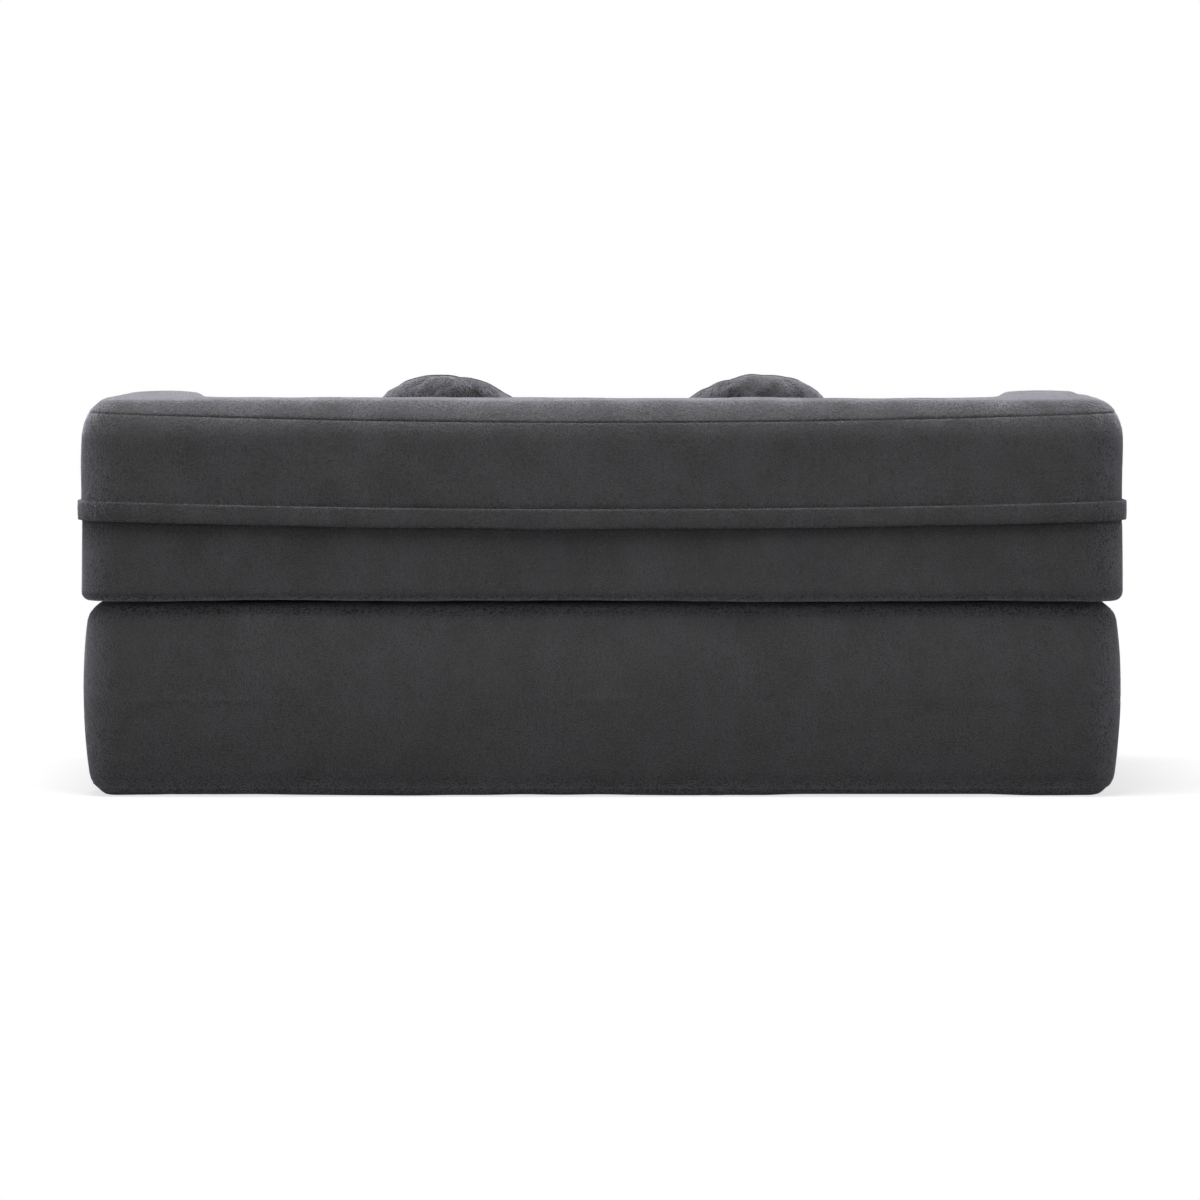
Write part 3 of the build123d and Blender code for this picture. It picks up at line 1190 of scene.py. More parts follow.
@dataclass
class FoldPanel:
    """Cloth sewn over two sections across their fold, with close rows there."""

    node: str
    side: Side
    ends: tuple[float, float]
    over_top: bool
    bodies: tuple[str, str]
    fold_height: float
    flat: tuple[float, float]
    seed: int
    thickness: float = 1.4 * MM
    base_room: float = 1.5 * MM
    hem: float = 6 * MM
    bend: float = 0.1 * MM
    slit: float = 0.13 * MM
    calm: float = 4 * MM
    row_pitch: float = 9 * MM
    thread_lift: float = 0.2 * MM
    fold_steps: tuple[float, ...] = (0, 0.05, 0.1, 0.15, 0.5, 1.5, 3, 6)
    edge_steps: tuple[float, ...] = (0.0, 0.7 * MM, 2.0 * MM, 4.5 * MM, 8.0 * MM)

    def __post_init__(self) -> None:
        """Finds the columns of the outline that the panel covers, and the heights of its rows."""
        self.outline = section_outline()
        y = self.outline.ring(0.0)[:, 1]
        wrap = SIZES.panel_wrap
        marks = y > SIZES.back - wrap if self.side is Side.BACK else y < SIZES.front + wrap
        self.chosen = in_order(marks)
        (low, high), edge = self.ends, np.array(self.edge_steps)
        pitch = self.row_pitch
        inner = np.arange(low + edge[-1] + 6 * MM, high - edge[-1] - 3 * MM, pitch)
        inner = inner[np.abs(inner - self.fold_height) > pitch]
        steps = np.array([*(-step for step in self.fold_steps[:0:-1]), *self.fold_steps])
        fold = self.fold_height + steps * MM
        self.heights = np.sort(np.concatenate([low + edge, inner, fold, high - edge]))

    def profile(self, height: float) -> tuple[float, float]:
        """Inset and level of the panel at a distance along its profile.

        Args:
            height: Distance along the profile, which is the level on the wall.

        Returns:
            Inset from the outline, and level.
        """
        radius = LOWEST_EDGE_RADIUS
        if height < radius:
            angle = (radius - height) / radius
            return radius * (1 - math.cos(angle)), radius * (1 - math.sin(angle)) + self.base_room
        radius = MIDDLE_HEAD_RADIUS
        bend = MIDDLE_HEAD - radius
        if self.over_top and height > bend:
            angle = min((height - bend) / radius, QUARTER)
            run = max(height - bend - radius * QUARTER, 0.0)
            return radius * (1 - math.cos(angle)) + run, bend + radius * math.sin(angle)
        return 0.0, height

    def layer(self, lift: float) -> Array:
        """Grid of the points of a layer of the cloth.

        Args:
            lift: How far it stands off the outer face.

        Returns:
            The points, rows by columns.
        """
        rows = []
        for height in self.heights:
            inset, level = self.profile(height)
            ring = self.outline.ring(inset - lift + barrel(level))[self.chosen]
            on_top = inset > 20 * MM and height > self.fold_height
            rows.append(at_height(ring, level + (lift if on_top else 0.0)))
        return np.array(rows)

    def build(self, wardrobe: "Wardrobe") -> Object:
        """Builds the panel with turned-in edges, and its stitches.

        Args:
            wardrobe: The sofa's finishes.

        Returns:
            The panel.
        """
        outer, inner = self.layer(0.0), self.layer(-self.thickness)
        outer = inner + (outer - inner) * self.edge_share(outer)[..., None]
        middle = (outer[:-1, :-1] + outer[1:, 1:]) / 2
        round_corner = np.abs(middle[..., 0]) > SIZES.side - PLAN_RADIUS - 2 * MM
        slit = round_corner & (np.abs(middle[..., 2] - self.fold_height) < self.slit)
        piece = thick_sheet(f"{self.node}_cloth", outer, inner, ~slit)
        loose = 1 - bell(read_points(piece)[0][:, 2] - self.fold_height, self.calm)
        Relief(sway=0.5 * MM, ripple=0.35 * MM, crease=0.3 * MM, seed=self.seed).apply(piece, loose)
        wardrobe.velour.dress(piece)
        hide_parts(self.node)
        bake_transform(piece)
        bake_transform(self.sew(wardrobe.thread))
        log.info("%s: %d points", piece.name, len(piece.data.vertices))
        return piece

    def under_thread(self, height: float) -> tuple[Array, float]:
        """The ring on which thread lies at a height, and its level."""
        inset, level = self.profile(height)
        return self.outline.ring(inset - self.thread_lift + barrel(level)), level

    def sew(self, thread: Finish) -> Object:
        """Sews the panel down along its four edges. The side seams stop short of the fold.

        Args:
            thread: Finish of the thread.

        Returns:
            The stitches.
        """
        (low, high), hem = self.ends, self.hem
        normals = plan_normals(self.outline.ring(0.0))
        runs = []
        for height in (low + hem, high - hem):
            ring, level = self.under_thread(height)
            tilt = 1.0 if self.over_top and height > self.fold_height else 0.0
            outward = normals[self.chosen[1:-1]] * (1 - tilt) + np.array([0.0, 0.0, tilt])
            lifted = level + self.thread_lift * tilt
            runs.append((at_height(ring[self.chosen[1:-1]], lifted), outward))
        heights = np.arange(low + 2 * hem, high - 2 * hem, 4 * MM)
        off = heights - self.fold_height
        for column in (self.chosen[1], self.chosen[-2]):
            for part in (heights[off < -hem], heights[off > hem]):
                rings = [self.under_thread(height) for height in part]
                spots = np.array([[*ring[column], level] for ring, level in rings])
                runs.append((spots, np.tile(normals[column], (len(spots), 1))))
        pieces = [
            StitchRun(f"{self.node}_cloth_stitches_{number}").build(path, outward, False, thread)
            for number, (path, outward) in enumerate(runs)
        ]
        join(pieces[0], *pieces[1:])
        return pieces[0]

    def edge_share(self, grid: Array) -> Array:
        """Share of the panel's thickness, which falls to a thin rolled edge.

        Args:
            grid: The outer surface, rows by columns.

        Returns:
            One share for each point of the grid.
        """
        shares = []
        for run in (self.heights, run_length(grid[len(grid) // 2])):
            shares.append(smooth_step(-1.5 * MM, 2.5 * MM, np.minimum(run - run[0], run[-1] - run)))
        return np.outer(*shares)


@dataclass
class SeatBase:
    """Lower part of the seat section: its underside and the walls below the zip."""

    lower_radius: float = 12 * MM
    grip_room: float = 1.8 * MM
    rim_depth: float = 2.5 * MM
    front_drop: float = 1.2 * MM
    seed: int = 31
    rim_rows: tuple[tuple[float, float], ...] = (
        (0.5, 0.8), (1.4, 0.1), (2.6, 0.0), (4.5, 0.6), (6.0, 3.0),
        (6.5, 9.0), (20.0, 9.5), (45.0, 9.5), (90.0, 9.5),
    )

    def build(self, cloth: Finish) -> Object:
        """Builds the seat section's cover below the zip. Its rim is a little lower at the front.

        Args:
            cloth: Finish of the cover.

        Returns:
            The cover.
        """
        outline = section_outline()
        base, radius = SIZES.seat_base + self.grip_room, self.lower_radius
        under = outline.ring(radius + UPPER_INSET)
        line = centre_line(under)
        rows = [at_height(under + (line - under) * t, base) for t in np.linspace(1, 0, 14)[:-1]]
        for angle in np.linspace(0.0, QUARTER, 6):
            inset = radius * (1 - math.sin(angle)) + UPPER_INSET
            rows.append(outline.at(inset, base + radius * (1 - math.cos(angle))))
        wall, start = outline.ring(UPPER_INSET), base + radius
        behind = zip_share(wall)
        rim = SIZES.zip_low - ZIP_GAP - self.front_drop * (1 - behind)
        for share in np.linspace(0.0, 1.0, 12)[1:]:
            rows.append(at_height(wall, start + (rim - self.rim_depth - start) * share))
        for inset, drop in self.rim_rows:
            sunk = drop * MM * behind + min(drop, 1.0) * MM * (1 - behind)
            rows.append(outline.at(UPPER_INSET + inset * MM, rim - sunk))
        piece = skin("seat_section_lower_cover", rows)
        places = read_points(piece)[0]
        below = step_at(-SIZES.front_panel_high, PANEL_EDGE, -places[:, 2])
        places = shrink_plan(places, PANEL_ROOM * (front_reach(places) * below))
        write_points(piece, places)
        calm = 1.0 - 0.8 * bell(places[:, 2] - SIZES.zip_low, 12 * MM)
        Relief(seed=self.seed).apply(piece, calm * (1.0 - under_grip(places, "seat_grip_panel")))
        return pad_out(piece, cloth, "seat", "seat_lower_cover", "seat_support_foam")


@dataclass
class SeatPanel:
    """The cloth panel one sits on, crowned over its wadding, with a rolled front edge."""

    front_radius: float = 30 * MM
    side_radius: float = 13 * MM
    low: float = 397.5 * MM
    seed: int = 47
    rim_rows: tuple[tuple[float, float], ...] = (
        (8.6, 9.0), (7.6, 3.0), (5.6, 0.4), (4.0, 0.0), (2.8, 0.8), (2.2, 2.5),
    )

    def crown(self, plan: Array) -> Array:
        """Height of the top over the plan."""
        across = 1 - (plan[:, 0] / SIZES.arm_inner) ** 2
        return SIZES.seat_top - SEAT_CROWN + SEAT_CROWN * np.clip(across, 0, 1)

    def build(self, cloth: Finish) -> Object:
        """Builds the seat's cloth panel.

        Args:
            cloth: Finish of the panel.

        Returns:
            The panel.
        """
        outline = seat_outline()
        edge = outline.ring(0.0)
        at_front = 1 - smooth_step(SIZES.front + 2 * MM, SIZES.front + 70 * MM, edge[:, 1])
        radius = self.side_radius + (self.front_radius - self.side_radius) * at_front
        top = self.crown(edge)
        rows = [outline.at(inset * MM, self.low + lift * MM) for inset, lift in self.rim_rows]
        for angle in np.linspace(0.0, QUARTER, 10):
            plan = mixed(outline, radius * (1 - math.cos(angle)) + UPPER_INSET)
            rows.append(at_height(plan, top - radius * (1 - math.sin(angle))))
        inner = rows[-1][:, :2]
        line = centre_line(inner)
        for t in np.linspace(0.0, 1.0, 30)[1:] ** 1.15:
            plan = inner + (line - inner) * t
            rows.append(at_height(plan, self.crown(plan)))
        piece = skin("seat_top_panel", rows)
        Relief(sway=1.6 * MM, ripple=0.7 * MM, crease=0.8 * MM, seed=self.seed).apply(piece)
        return pad_out(piece, cloth, "seat", "seat_top_cover", "seat_comfort_foam")


@dataclass
class Bolster:
    """Back and arms in one: upright panels, a stitched seam, and a softly rounded top panel."""

    edge_radius: float = 40 * MM
    edge_depth: float = 57 * MM
    top_crown: float = 2 * MM
    front_base: float = 398.6 * MM
    hidden_base: float = 412 * MM
    seed: int = 61
    base_rows: tuple[tuple[float, float], ...] = (
        (6.5, 9.0), (6.0, 3.0), (4.4, 0.5), (2.6, 0.0), (1.4, 0.2), (0.5, 0.9),
    )
    seam_rows: tuple[tuple[float, float], ...] = (
        (-2.0, 0.2), (-0.8, 0.6), (0.0, 1.2), (0.8, 0.5), (2.2, -0.2), (5.0, -0.5),
    )

    def base(self, plan: Array) -> Array:
        """Level of the lower edge: above the zip outside, hidden under the seat's edge inside.

        Args:
            plan: The outline's points.

        Returns:
            One level for each point.
        """
        s = SIZES
        at_side = np.abs(plan[:, 0]) > (s.side + s.arm_inner) / 2
        at_back = plan[:, 1] > (s.back + s.recess_back) / 2
        at_front = plan[:, 1] < s.front + ARM_FRONT_RADIUS * 0.3
        outside = self.front_base + (s.zip_high + ZIP_GAP - self.front_base) * zip_share(plan)
        ahead = 1 - smooth_step(s.front + 50 * MM, s.front + 110 * MM, plan[:, 1])
        inside = self.hidden_base + (self.front_base - self.hidden_base) * ahead
        return np.where(at_side | at_back | at_front, outside, inside)

    def build(self, cloth: Finish) -> Object:
        """Builds the cover of back and arms, from its lower edge to the middle of its top.

        Args:
            cloth: Finish of the cover.

        Returns:
            The cover.
        """
        outline = bolster_outline()
        ring = outline.ring(0.0)
        base, seam = self.base(ring), seam_height(ring[:, 0])
        centre = SIZES.top - self.top_crown - self.edge_depth
        rows = [
            outline.at(off * MM + UPPER_INSET, base + lift * MM) for off, lift in self.base_rows
        ]
        foot, head = base + 2.5 * MM, seam - 4 * MM
        levels = [(foot + (head - foot) * share, 0.0) for share in np.linspace(0.0, 1.0, 14)]
        levels += [(seam + offset * MM, depth * MM) for offset, depth in self.seam_rows]
        for level, groove in levels:
            rise = np.clip((level - centre) / self.edge_depth, 0.0, 1.0)
            inset = self.edge_radius * (1 - np.sqrt(1 - rise**2)) + UPPER_INSET + groove
            rows.append(at_height(mixed(outline, inset), level))
        start = np.arcsin(np.clip((seam + 5 * MM - centre) / self.edge_depth, -1.0, 1.0))
        for share in np.linspace(0.0, 1.0, 10)[1:]:
            angle = start + (QUARTER - start) * share
            plan = mixed(outline, self.edge_radius * (1 - np.cos(angle)) + UPPER_INSET)
            rows.append(at_height(plan, centre + self.edge_depth * np.sin(angle)))
        inner = rows[-1][:, :2]
        line = bolster_line(outline, inner)
        for t in np.linspace(0.0, 1.0, 11)[1:]:
            lift = self.top_crown * (1 - (1 - t) ** 2)
            rows.append(at_height(inner + (line - inner) * t, centre + self.edge_depth + lift))
        piece = skin("bolster_cover_skin", rows)
        calm = self.calm(read_points(piece)[0])
        Relief(sway=1.3 * MM, ripple=0.6 * MM, crease=0.7 * MM, seed=self.seed).apply(piece, calm)
        nodes = ("bolster_cover", "back_foam", "left_arm_foam", "right_arm_foam")
        return pad_out(piece, cloth, "seat", *nodes)

    def calm(self, places: Array) -> Array:
        """Share of the cloth's softness, less beside the seams."""
        off_seam, off_zip = places[:, 2] - seam_height(places[:, 0]), places[:, 2] - SIZES.zip_high
        return 1.0 - 0.7 * bell(off_seam, 5 * MM) - 0.25 * bell(off_zip, 10 * MM)


@dataclass(frozen=True)
class LoosePillow:
    """A small pillow that leans on the back, stuffed loosely, with a seam round its edge."""

    hand: Hand
    seed: int
    voxel: float = 5 * MM
    start_shrink: float = 3 * MM
    swell_cap: float = 13 * MM
    pressure: float = 4.0
    frames: int = 20
    pleats: int = 9
    pleat_depth: float = 1.0 * MM
    swells: tuple[tuple[float, float], ...] = ((1.5 * MM, 0.09), (0.9 * MM, 0.032))
    crease_depth: float = 2.2 * MM
    shoulders: tuple[tuple[float, float, float], ...] = (
        (13 * MM, 75 * MM, 42 * MM), (8 * MM, -70 * MM, 28 * MM),
    )
    seam_sway: float = 1.2 * MM
    seam_share: float = 0.68
    seam_spots: int = 240
    roll_radius: float = 1.5 * MM
    top: float = 609.5 * MM
    widening: float = 1.05

    @property
    def body(self) -> str:
        """The pillow's body."""
        return f"{self.hand.name.lower()}_pillow"

    def plain_form(self) -> Object:
        """A copy of the pillow's solid, drawn in a little and remeshed evenly.

        Returns:
            The copy.
        """
        piece = put(self.body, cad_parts[f"{self.body}_cover"].data.copy())
        piece.data.materials.clear()
        with editing(piece.data) as work:
            bmesh.ops.remove_doubles(work, verts=work.verts, dist=0.05 * MM)
            keep = set(max(loose_shells(work), key=shell_size))
            bmesh.ops.delete(work, geom=[v for v in work.verts if v not in keep], context="VERTS")
            bmesh.ops.recalc_face_normals(work, faces=work.faces)
        shape_with(piece, "REMESH", mode="VOXEL", voxel_size=self.voxel)
        shape_with(
            piece, "CORRECTIVE_SMOOTH",
            iterations=8, smooth_type="LENGTH_WEIGHTED", use_only_smooth=True,
        )
        places, normals = read_points(piece)
        write_points(piece, places - normals * self.start_shrink)
        return piece

    def swell(self, piece: Object) -> None:
        """Blows the cover up as cloth, with a limit on how far it moves.

        Args:
            piece: The drawn-in pillow.
        """
        rest, normals = read_points(piece)
        cloth = piece.modifiers.new("stuffing", "CLOTH")
        cloth.settings.use_pressure = True
        cloth.settings.uniform_pressure_force = self.pressure
        cloth.settings.effector_weights.gravity = 0.0
        cloth.settings.quality = 4
        cloth.settings.bending_stiffness = 0.3
        cloth.collision_settings.use_collision = False
        scene = bpy.context.scene
        for step in range(1, self.frames + 1):
            scene.frame_set(step)
        blown, _ = read_points(piece.evaluated_get(bpy.context.evaluated_depsgraph_get()))
        piece.modifiers.remove(cloth)
        scene.frame_set(1)
        move = blown - rest
        length = np.linalg.norm(move, axis=1)
        limit = self.swell_cap * np.tanh(length / self.swell_cap) / np.maximum(length, 1e-9)
        write_points(piece, rest + move * limit[:, None])

    def wrinkle(self, piece: Object, axes: Array, middle: Array) -> None:
        """Gathers the cloth towards the seam, as on a slack pillow.

        Args:
            piece: The blown-up pillow.
            axes: Its long, short and thin directions, one in each row.
            middle: Its middle.
        """
        places, normals = read_points(piece)
        local = (places - middle) @ axes.T
        reach = np.abs(local).max(axis=0)
        angle = np.arctan2(local[:, 1] / reach[1], local[:, 0] / reach[0])
        rim = smooth_step(0.25, 0.95, 1 - np.clip(np.abs(local[:, 2]) / reach[2], 0, 1))
        rng = np.random.default_rng(self.seed)
        pleat = np.zeros(len(places))
        for _ in range(self.pleats):
            number, phase = int(rng.integers(9, 34)), rng.uniform(0, FULL_TURN)
            drift = rng.uniform(-9, 9)
            pleat += np.sin(number * angle + phase + drift * local[:, 2] / reach[2])
        move = self.pleat_depth * rim * pleat / math.sqrt(self.pleats)
        for number, (height, length) in enumerate(self.swells, 1):
            move += height * waves(local, length, self.seed + number)
        fold = np.abs(waves(local * np.array([1.0, 1.5, 1.0]), 0.075, self.seed + 3))
        where = smooth_step(-0.2, 0.8, waves(local, 0.16, self.seed + 4))
        move -= self.crease_depth * np.exp(-fold / 0.16) * where
        write_points(piece, places + normals * move[:, None])

    def fill_out(self, piece: Object) -> None:
        """Lets the pillow reach the seat under it, its full height and the back behind it.

        Args:
            piece: The wrinkled pillow.
        """
        low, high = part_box(f"{self.body}_cover")
        places, _ = read_points(piece)
        start, end = places.min(axis=0), places.max(axis=0)
        centre = (low.x + high.x) / 2
        places[:, 0] = centre + (places[:, 0] - (start[0] + end[0]) / 2) * self.widening
        places[:, 1] = low.y + (places[:, 1] - start[1]) * (high.y - low.y) / (end[1] - start[1])
        places[:, 2] = low.z + (places[:, 2] - start[2]) * (self.top - low.z) / (end[2] - start[2])
        inward = (places[:, 0] - places[places[:, 2].argmax(), 0]) * -np.sign(centre)
        lift = sum(height * bell(inward - off, width) for height, off, width in self.shoulders)
        places[:, 2] += lift * smooth_step(440 * MM, 570 * MM, places[:, 2])
        write_points(piece, places)

    def seam(self, axes: Array, middle: Array, piece: Object) -> Object:
        """The rolled edge where the two halves of the cover are sewn together.

        Args:
            axes: The pillow's long, short and thin directions.
            middle: Its middle.
            piece: The pillow.

        Returns:
            The edge roll.
        """
        places, _ = read_points(piece)
        local = (places - middle) @ axes.T
        angle = np.arctan2(local[:, 1], local[:, 0])
        radius = np.hypot(local[:, 0], local[:, 1])
        thick = np.abs(local[:, 2]).max()
        level = self.seam_share * thick
        band = np.abs(local[:, 2] - level) < 0.1 * thick
        bins = self.seam_spots
        index = ((angle + math.pi) / FULL_TURN * bins).astype(int) % bins
        reach = np.zeros(bins)
        np.maximum.at(reach, index[band], radius[band])
        reach = np.where(reach > 0, reach, np.median(reach[reach > 0]))
        turn = (np.arange(bins) + 0.5) / bins * FULL_TURN - math.pi
        sway = level + self.seam_sway * np.sin(5 * turn + self.seed)
        centre = np.column_stack([reach * np.cos(turn), reach * np.sin(turn), sway]) @ axes + middle
        mesh = piece.data
        faces = [face.vertices[:] for face in mesh.polygons]
        surface = BVHTree.FromPolygons([v.co for v in mesh.vertices], faces)
        for _ in range(4):
            centre = (np.roll(centre, 1, axis=0) + 2 * centre + np.roll(centre, -1, axis=0)) / 4
            centre = np.array([surface.find_nearest(Vector(spot))[0][:] for spot in centre])
        rows = tube_rows(centre, axes[2], self.roll_radius, 10)
        return skin(f"{self.body}_edge_roll", rows + rows[:1])

    def build(self, cloth: Finish) -> Object:
        """Builds the pillow and its edge roll.

        Args:
            cloth: Finish of the pillow's cover.

        Returns:
            The pillow.
        """
        piece = self.plain_form()
        places, _ = read_points(piece)
        middle = places.mean(axis=0)
        _, _, axes = np.linalg.svd(places - middle, full_matrices=False)
        axes[2] *= -np.sign(axes[2][1])
        self.swell(piece)
        self.wrinkle(piece, axes, middle)
        shape_with(piece, "SUBSURF", levels=1)
        self.fill_out(piece)
        roll = self.seam(axes, middle, piece)
        shade_smooth(piece.data)
        for part in (piece, roll):
            attach(part, cloth, self.body)
        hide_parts(f"{self.body}_cover", f"{self.body}_fill")
        log.info("%s: %d points", piece.name, len(piece.data.vertices))
        return piece


def loose_shells(work: bmesh.types.BMesh) -> list[list[bmesh.types.BMVert]]:
    """The separate shells of a mesh.

    Args:
        work: The mesh.

    Returns:
        The points of each shell.
    """
    seen, shells = set(), []
    for start in work.verts:
        if start in seen:
            continue
        shell, queue = [], [start]
        seen.add(start)
        while queue:
            vert = queue.pop()
            shell.append(vert)
            for edge in vert.link_edges:
                other = edge.other_vert(vert)
                if other not in seen:
                    seen.add(other)
                    queue.append(other)
        shells.append(shell)
    return shells


def shell_size(shell: list[bmesh.types.BMVert]) -> float:
    """Diagonal of a shell's box."""
    spots = np.array([v.co for v in shell])
    return float(np.linalg.norm(spots.max(axis=0) - spots.min(axis=0)))


def shape_with(piece: Object, kind: str, **values: object) -> None:
    """Adds a modifier to a piece and applies it at once.

    Args:
        piece: The piece to shape.
        kind: Type of the modifier.
        **values: Its settings.
    """
    modifier = piece.modifiers.new(kind.lower(), kind)
    for key, value in values.items():
        setattr(modifier, key, value)
    shaped = piece.evaluated_get(bpy.context.evaluated_depsgraph_get())
    mesh = bpy.data.meshes.new_from_object(shaped)
    piece.modifiers.remove(modifier)
    piece.data = mesh


def tube_rows(centre: Array, up: Array, radius: float, sides: int) -> list[Array]:
    """Rings round a closed line.

    Args:
        centre: Points of the line.
        up: A direction that is never along the line.
        radius: Radius of the tube.
        sides: Points in each ring.

    Returns:
        One ring for each point of the line.
    """
    along = np.roll(centre, -1, axis=0) - np.roll(centre, 1, axis=0)
    along /= np.linalg.norm(along, axis=1)[:, None]
    across = np.cross(along, up)
    across /= np.linalg.norm(across, axis=1)[:, None]
    over = np.cross(across, along)
    turn = np.linspace(0.0, FULL_TURN, sides, endpoint=False)
    round_x, round_y = np.cos(turn)[:, None], np.sin(turn)[:, None]
    return [c + radius * (round_x * a + round_y * o) for c, a, o in zip(centre, across, over)]


@dataclass(frozen=True)
class ZipFlap:
    """Cloth flap that hides the zip, sewn on above it and loose at its hem."""

    flat: tuple[float, float] = (0.036, 2.78)
    seed: int = 83
    profile: tuple[tuple[float, float, float], ...] = (
        (-1.2, 12.7, 0), (1.6, 13.4, 0), (3.2, 14.3, 0), (4.1, 14.4, 0), (4.7, 13.4, 0),
        (4.9, 11.0, 0.1), (4.9, 6.0, 0.2), (4.9, 0.0, 0.4), (4.8, -4.0, 0.6), (4.6, -7.5, 0.75),
        (4.4, -10.5, 0.9), (4.1, -13.0, 1.0), (3.7, -13.8, 1.0), (3.1, -13.4, 1.0),
        (3.0, -12.0, 0.95), (2.7, -6.0, 0.6), (2.6, 2.0, 0.3), (2.0, 8.0, 0.1), (0.6, 11.4, 0),
        (-1.2, 12.0, 0),
    )

    def build(self, cloth: Finish) -> Object:
        """Builds the flap with its hem.

        Each row of the profile is how far it stands off and how high over the zip, in mm, and its
        share of the hem's waves.

        Args:
            cloth: Finish of the flap.

        Returns:
            The flap.
        """
        outline = section_outline()
        ring = outline.ring(0.0)
        chosen = in_order(ring[:, 1] > SIZES.flap_front - 0.5 * MM)
        plain = ring[chosen]
        run = run_length(plain)
        line = run[:, None]
        wave = waves(line, 0.16, self.seed) + 0.6 * waves(line, 0.06, self.seed + 1)
        dip = waves(line, 0.31, self.seed + 2)
        ends = smooth_step(0.0, 30 * MM, run) * smooth_step(0.0, 30 * MM, run[-1] - run)
        lift = flap_lift(plain[:, 0], plain[:, 1])
        rows = []
        for off, rise, share in self.profile:
            out = off * MM + share * ends * 0.7 * MM * wave
            inset = np.full(len(ring), -out.mean())
            inset[chosen] = -out
            level = SIZES.zip_level + rise * MM + lift + share * 0.8 * MM * dip
            rows.append(at_height(mixed(outline, inset)[chosen], level))
        piece = skin("zip_flap", rows + rows[:1], closed=False)
        close_ends(piece)
        attach(piece, cloth, "seat")
        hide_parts("zipper_flap")
        log.info("%s: %d points", piece.name, len(piece.data.vertices))
        return piece


def capsules(
    name: str, centres: Array, along: Array, normals: Array,
    size: tuple[float, float, float], dip: float, sides: int = 6,
) -> Object:
    """Many small rounded bars in one mesh, such as stitches or the turns of a zip's coil.

    Args:
        name: Name of the piece.
        centres: Middle of each bar.
        along: Direction of each bar.
        normals: Outward direction at each bar.
        size: Half length, half width and half height.
        dip: How far both tips sink.
        sides: Points round each bar.

    Returns:
        The new object.
    """
    half, width, height = size
    turn = np.linspace(0.0, FULL_TURN, sides, endpoint=False)
    local = []
    for place, swell in ((-1.0, 0.0), (-0.72, 0.8), (0.0, 1.0), (0.72, 0.8), (1.0, 0.0)):
        angle = turn[: 1 if swell == 0.0 else sides]
        across = width * swell * np.cos(angle)
        over = height * swell * np.sin(angle) - dip * place**2
        local.append(np.column_stack([np.full(len(angle), place * half), across, over]))
    local = np.concatenate(local)
    faces, last = [], 1 + 3 * sides
    for i in range(sides):
        j = (i + 1) % sides
        faces += [(0, 1 + j, 1 + i), (last, last - sides + i, last - sides + j)]
        for at in (1, 1 + sides):
            faces.append((at + i, at + j, at + sides + j, at + sides + i))
    frames = np.stack([along, np.cross(normals, along), normals], axis=1)
    points = centres[:, None, :] + np.einsum("pk,nkx->npx", local, frames)
    whole = [tuple(v + len(local) * n for v in face) for n in range(len(centres)) for face in faces]
    mesh = plain_mesh(name, points, whole)
    shade_smooth(mesh)
    return put(name, mesh)


def spaced(path: Array, pitch: float, closed: bool, normals: Array) -> tuple[Array, ...]:
    """Even places along a path.

    Args:
        path: Points of the path.
        pitch: Distance between places.
        closed: Whether the path ends where it starts.
        normals: Outward directions along the path.

    Returns:
        The places, the path's direction there, and the normals, made square to it.
    """
    if closed:
        path, normals = (np.concatenate([values, values[:1]]) for values in (path, normals))
    run = run_length(path)
    at = np.arange(pitch / 2, run[-1], pitch)
    near = 0.5 * MM
    places, ahead, before, outward = (
        np.column_stack([np.interp(spots, run, values[:, k]) for k in range(3)])
        for spots, values in ((at, path), (at + near, path), (at - near, path), (at, normals))
    )
    along = ahead - before
    along /= np.maximum(np.linalg.norm(along, axis=1), 1e-9)[:, None]
    return places, along, upright(along, outward)


def upright(along: Array, normals: Array) -> Array:
    """Normals made square to a direction, and one long."""
    square = normals - along * np.sum(normals * along, axis=1)[:, None]
    return square / np.maximum(np.linalg.norm(square, axis=1), 1e-9)[:, None]


@dataclass(frozen=True)
class StitchRun:
    """A row of stitches that lies on cloth."""

    name: str
    pitch: float = 6.5 * MM
    half_length: float = 2.1 * MM
    thread: float = 0.42 * MM
    dip: float = 0.5 * MM

    def build(self, path: Array, normals: Array, closed: bool, finish: Finish) -> Object:
        """Lays the stitches.

        Args:
            path: Points of the row.
            normals: Outward directions along it.
            closed: Whether it ends where it starts.
            finish: Finish of the thread.

        Returns:
            The stitches.
        """
        places, along, outward = spaced(path, self.pitch, closed, normals)
        size = (self.half_length, self.thread, self.thread * 0.8)
        piece = capsules(self.name, places, along, outward, size, dip=self.dip)
        finish.dress(piece)
        log.info("%s: %d stitches", piece.name, len(places))
        return piece


def plan_normals(ring: Array) -> Array:
    """Outward directions of a closed ring.

    Args:
        ring: Points of the ring in plan, anticlockwise from above.

    Returns:
        One level direction for each point.
    """
    way = np.roll(ring, -1, axis=0) - np.roll(ring, 1, axis=0)
    flat = np.column_stack([way[:, 1], -way[:, 0]])
    return at_height(flat / np.maximum(np.linalg.norm(flat, axis=1), 1e-9)[:, None], 0.0)


def in_order(marks: Array) -> Array:
    """Puts the marked points of a ring in order, from one end of their run to the other.

    Args:
        marks: Whether each point of the ring is marked.

    Returns:
        Their indices.
    """
    chosen = np.flatnonzero(marks)
    gap = np.flatnonzero(np.diff(chosen) > 1)
    return np.concatenate([chosen[gap[0] + 1 :], chosen[: gap[0] + 1]]) if len(gap) else chosen


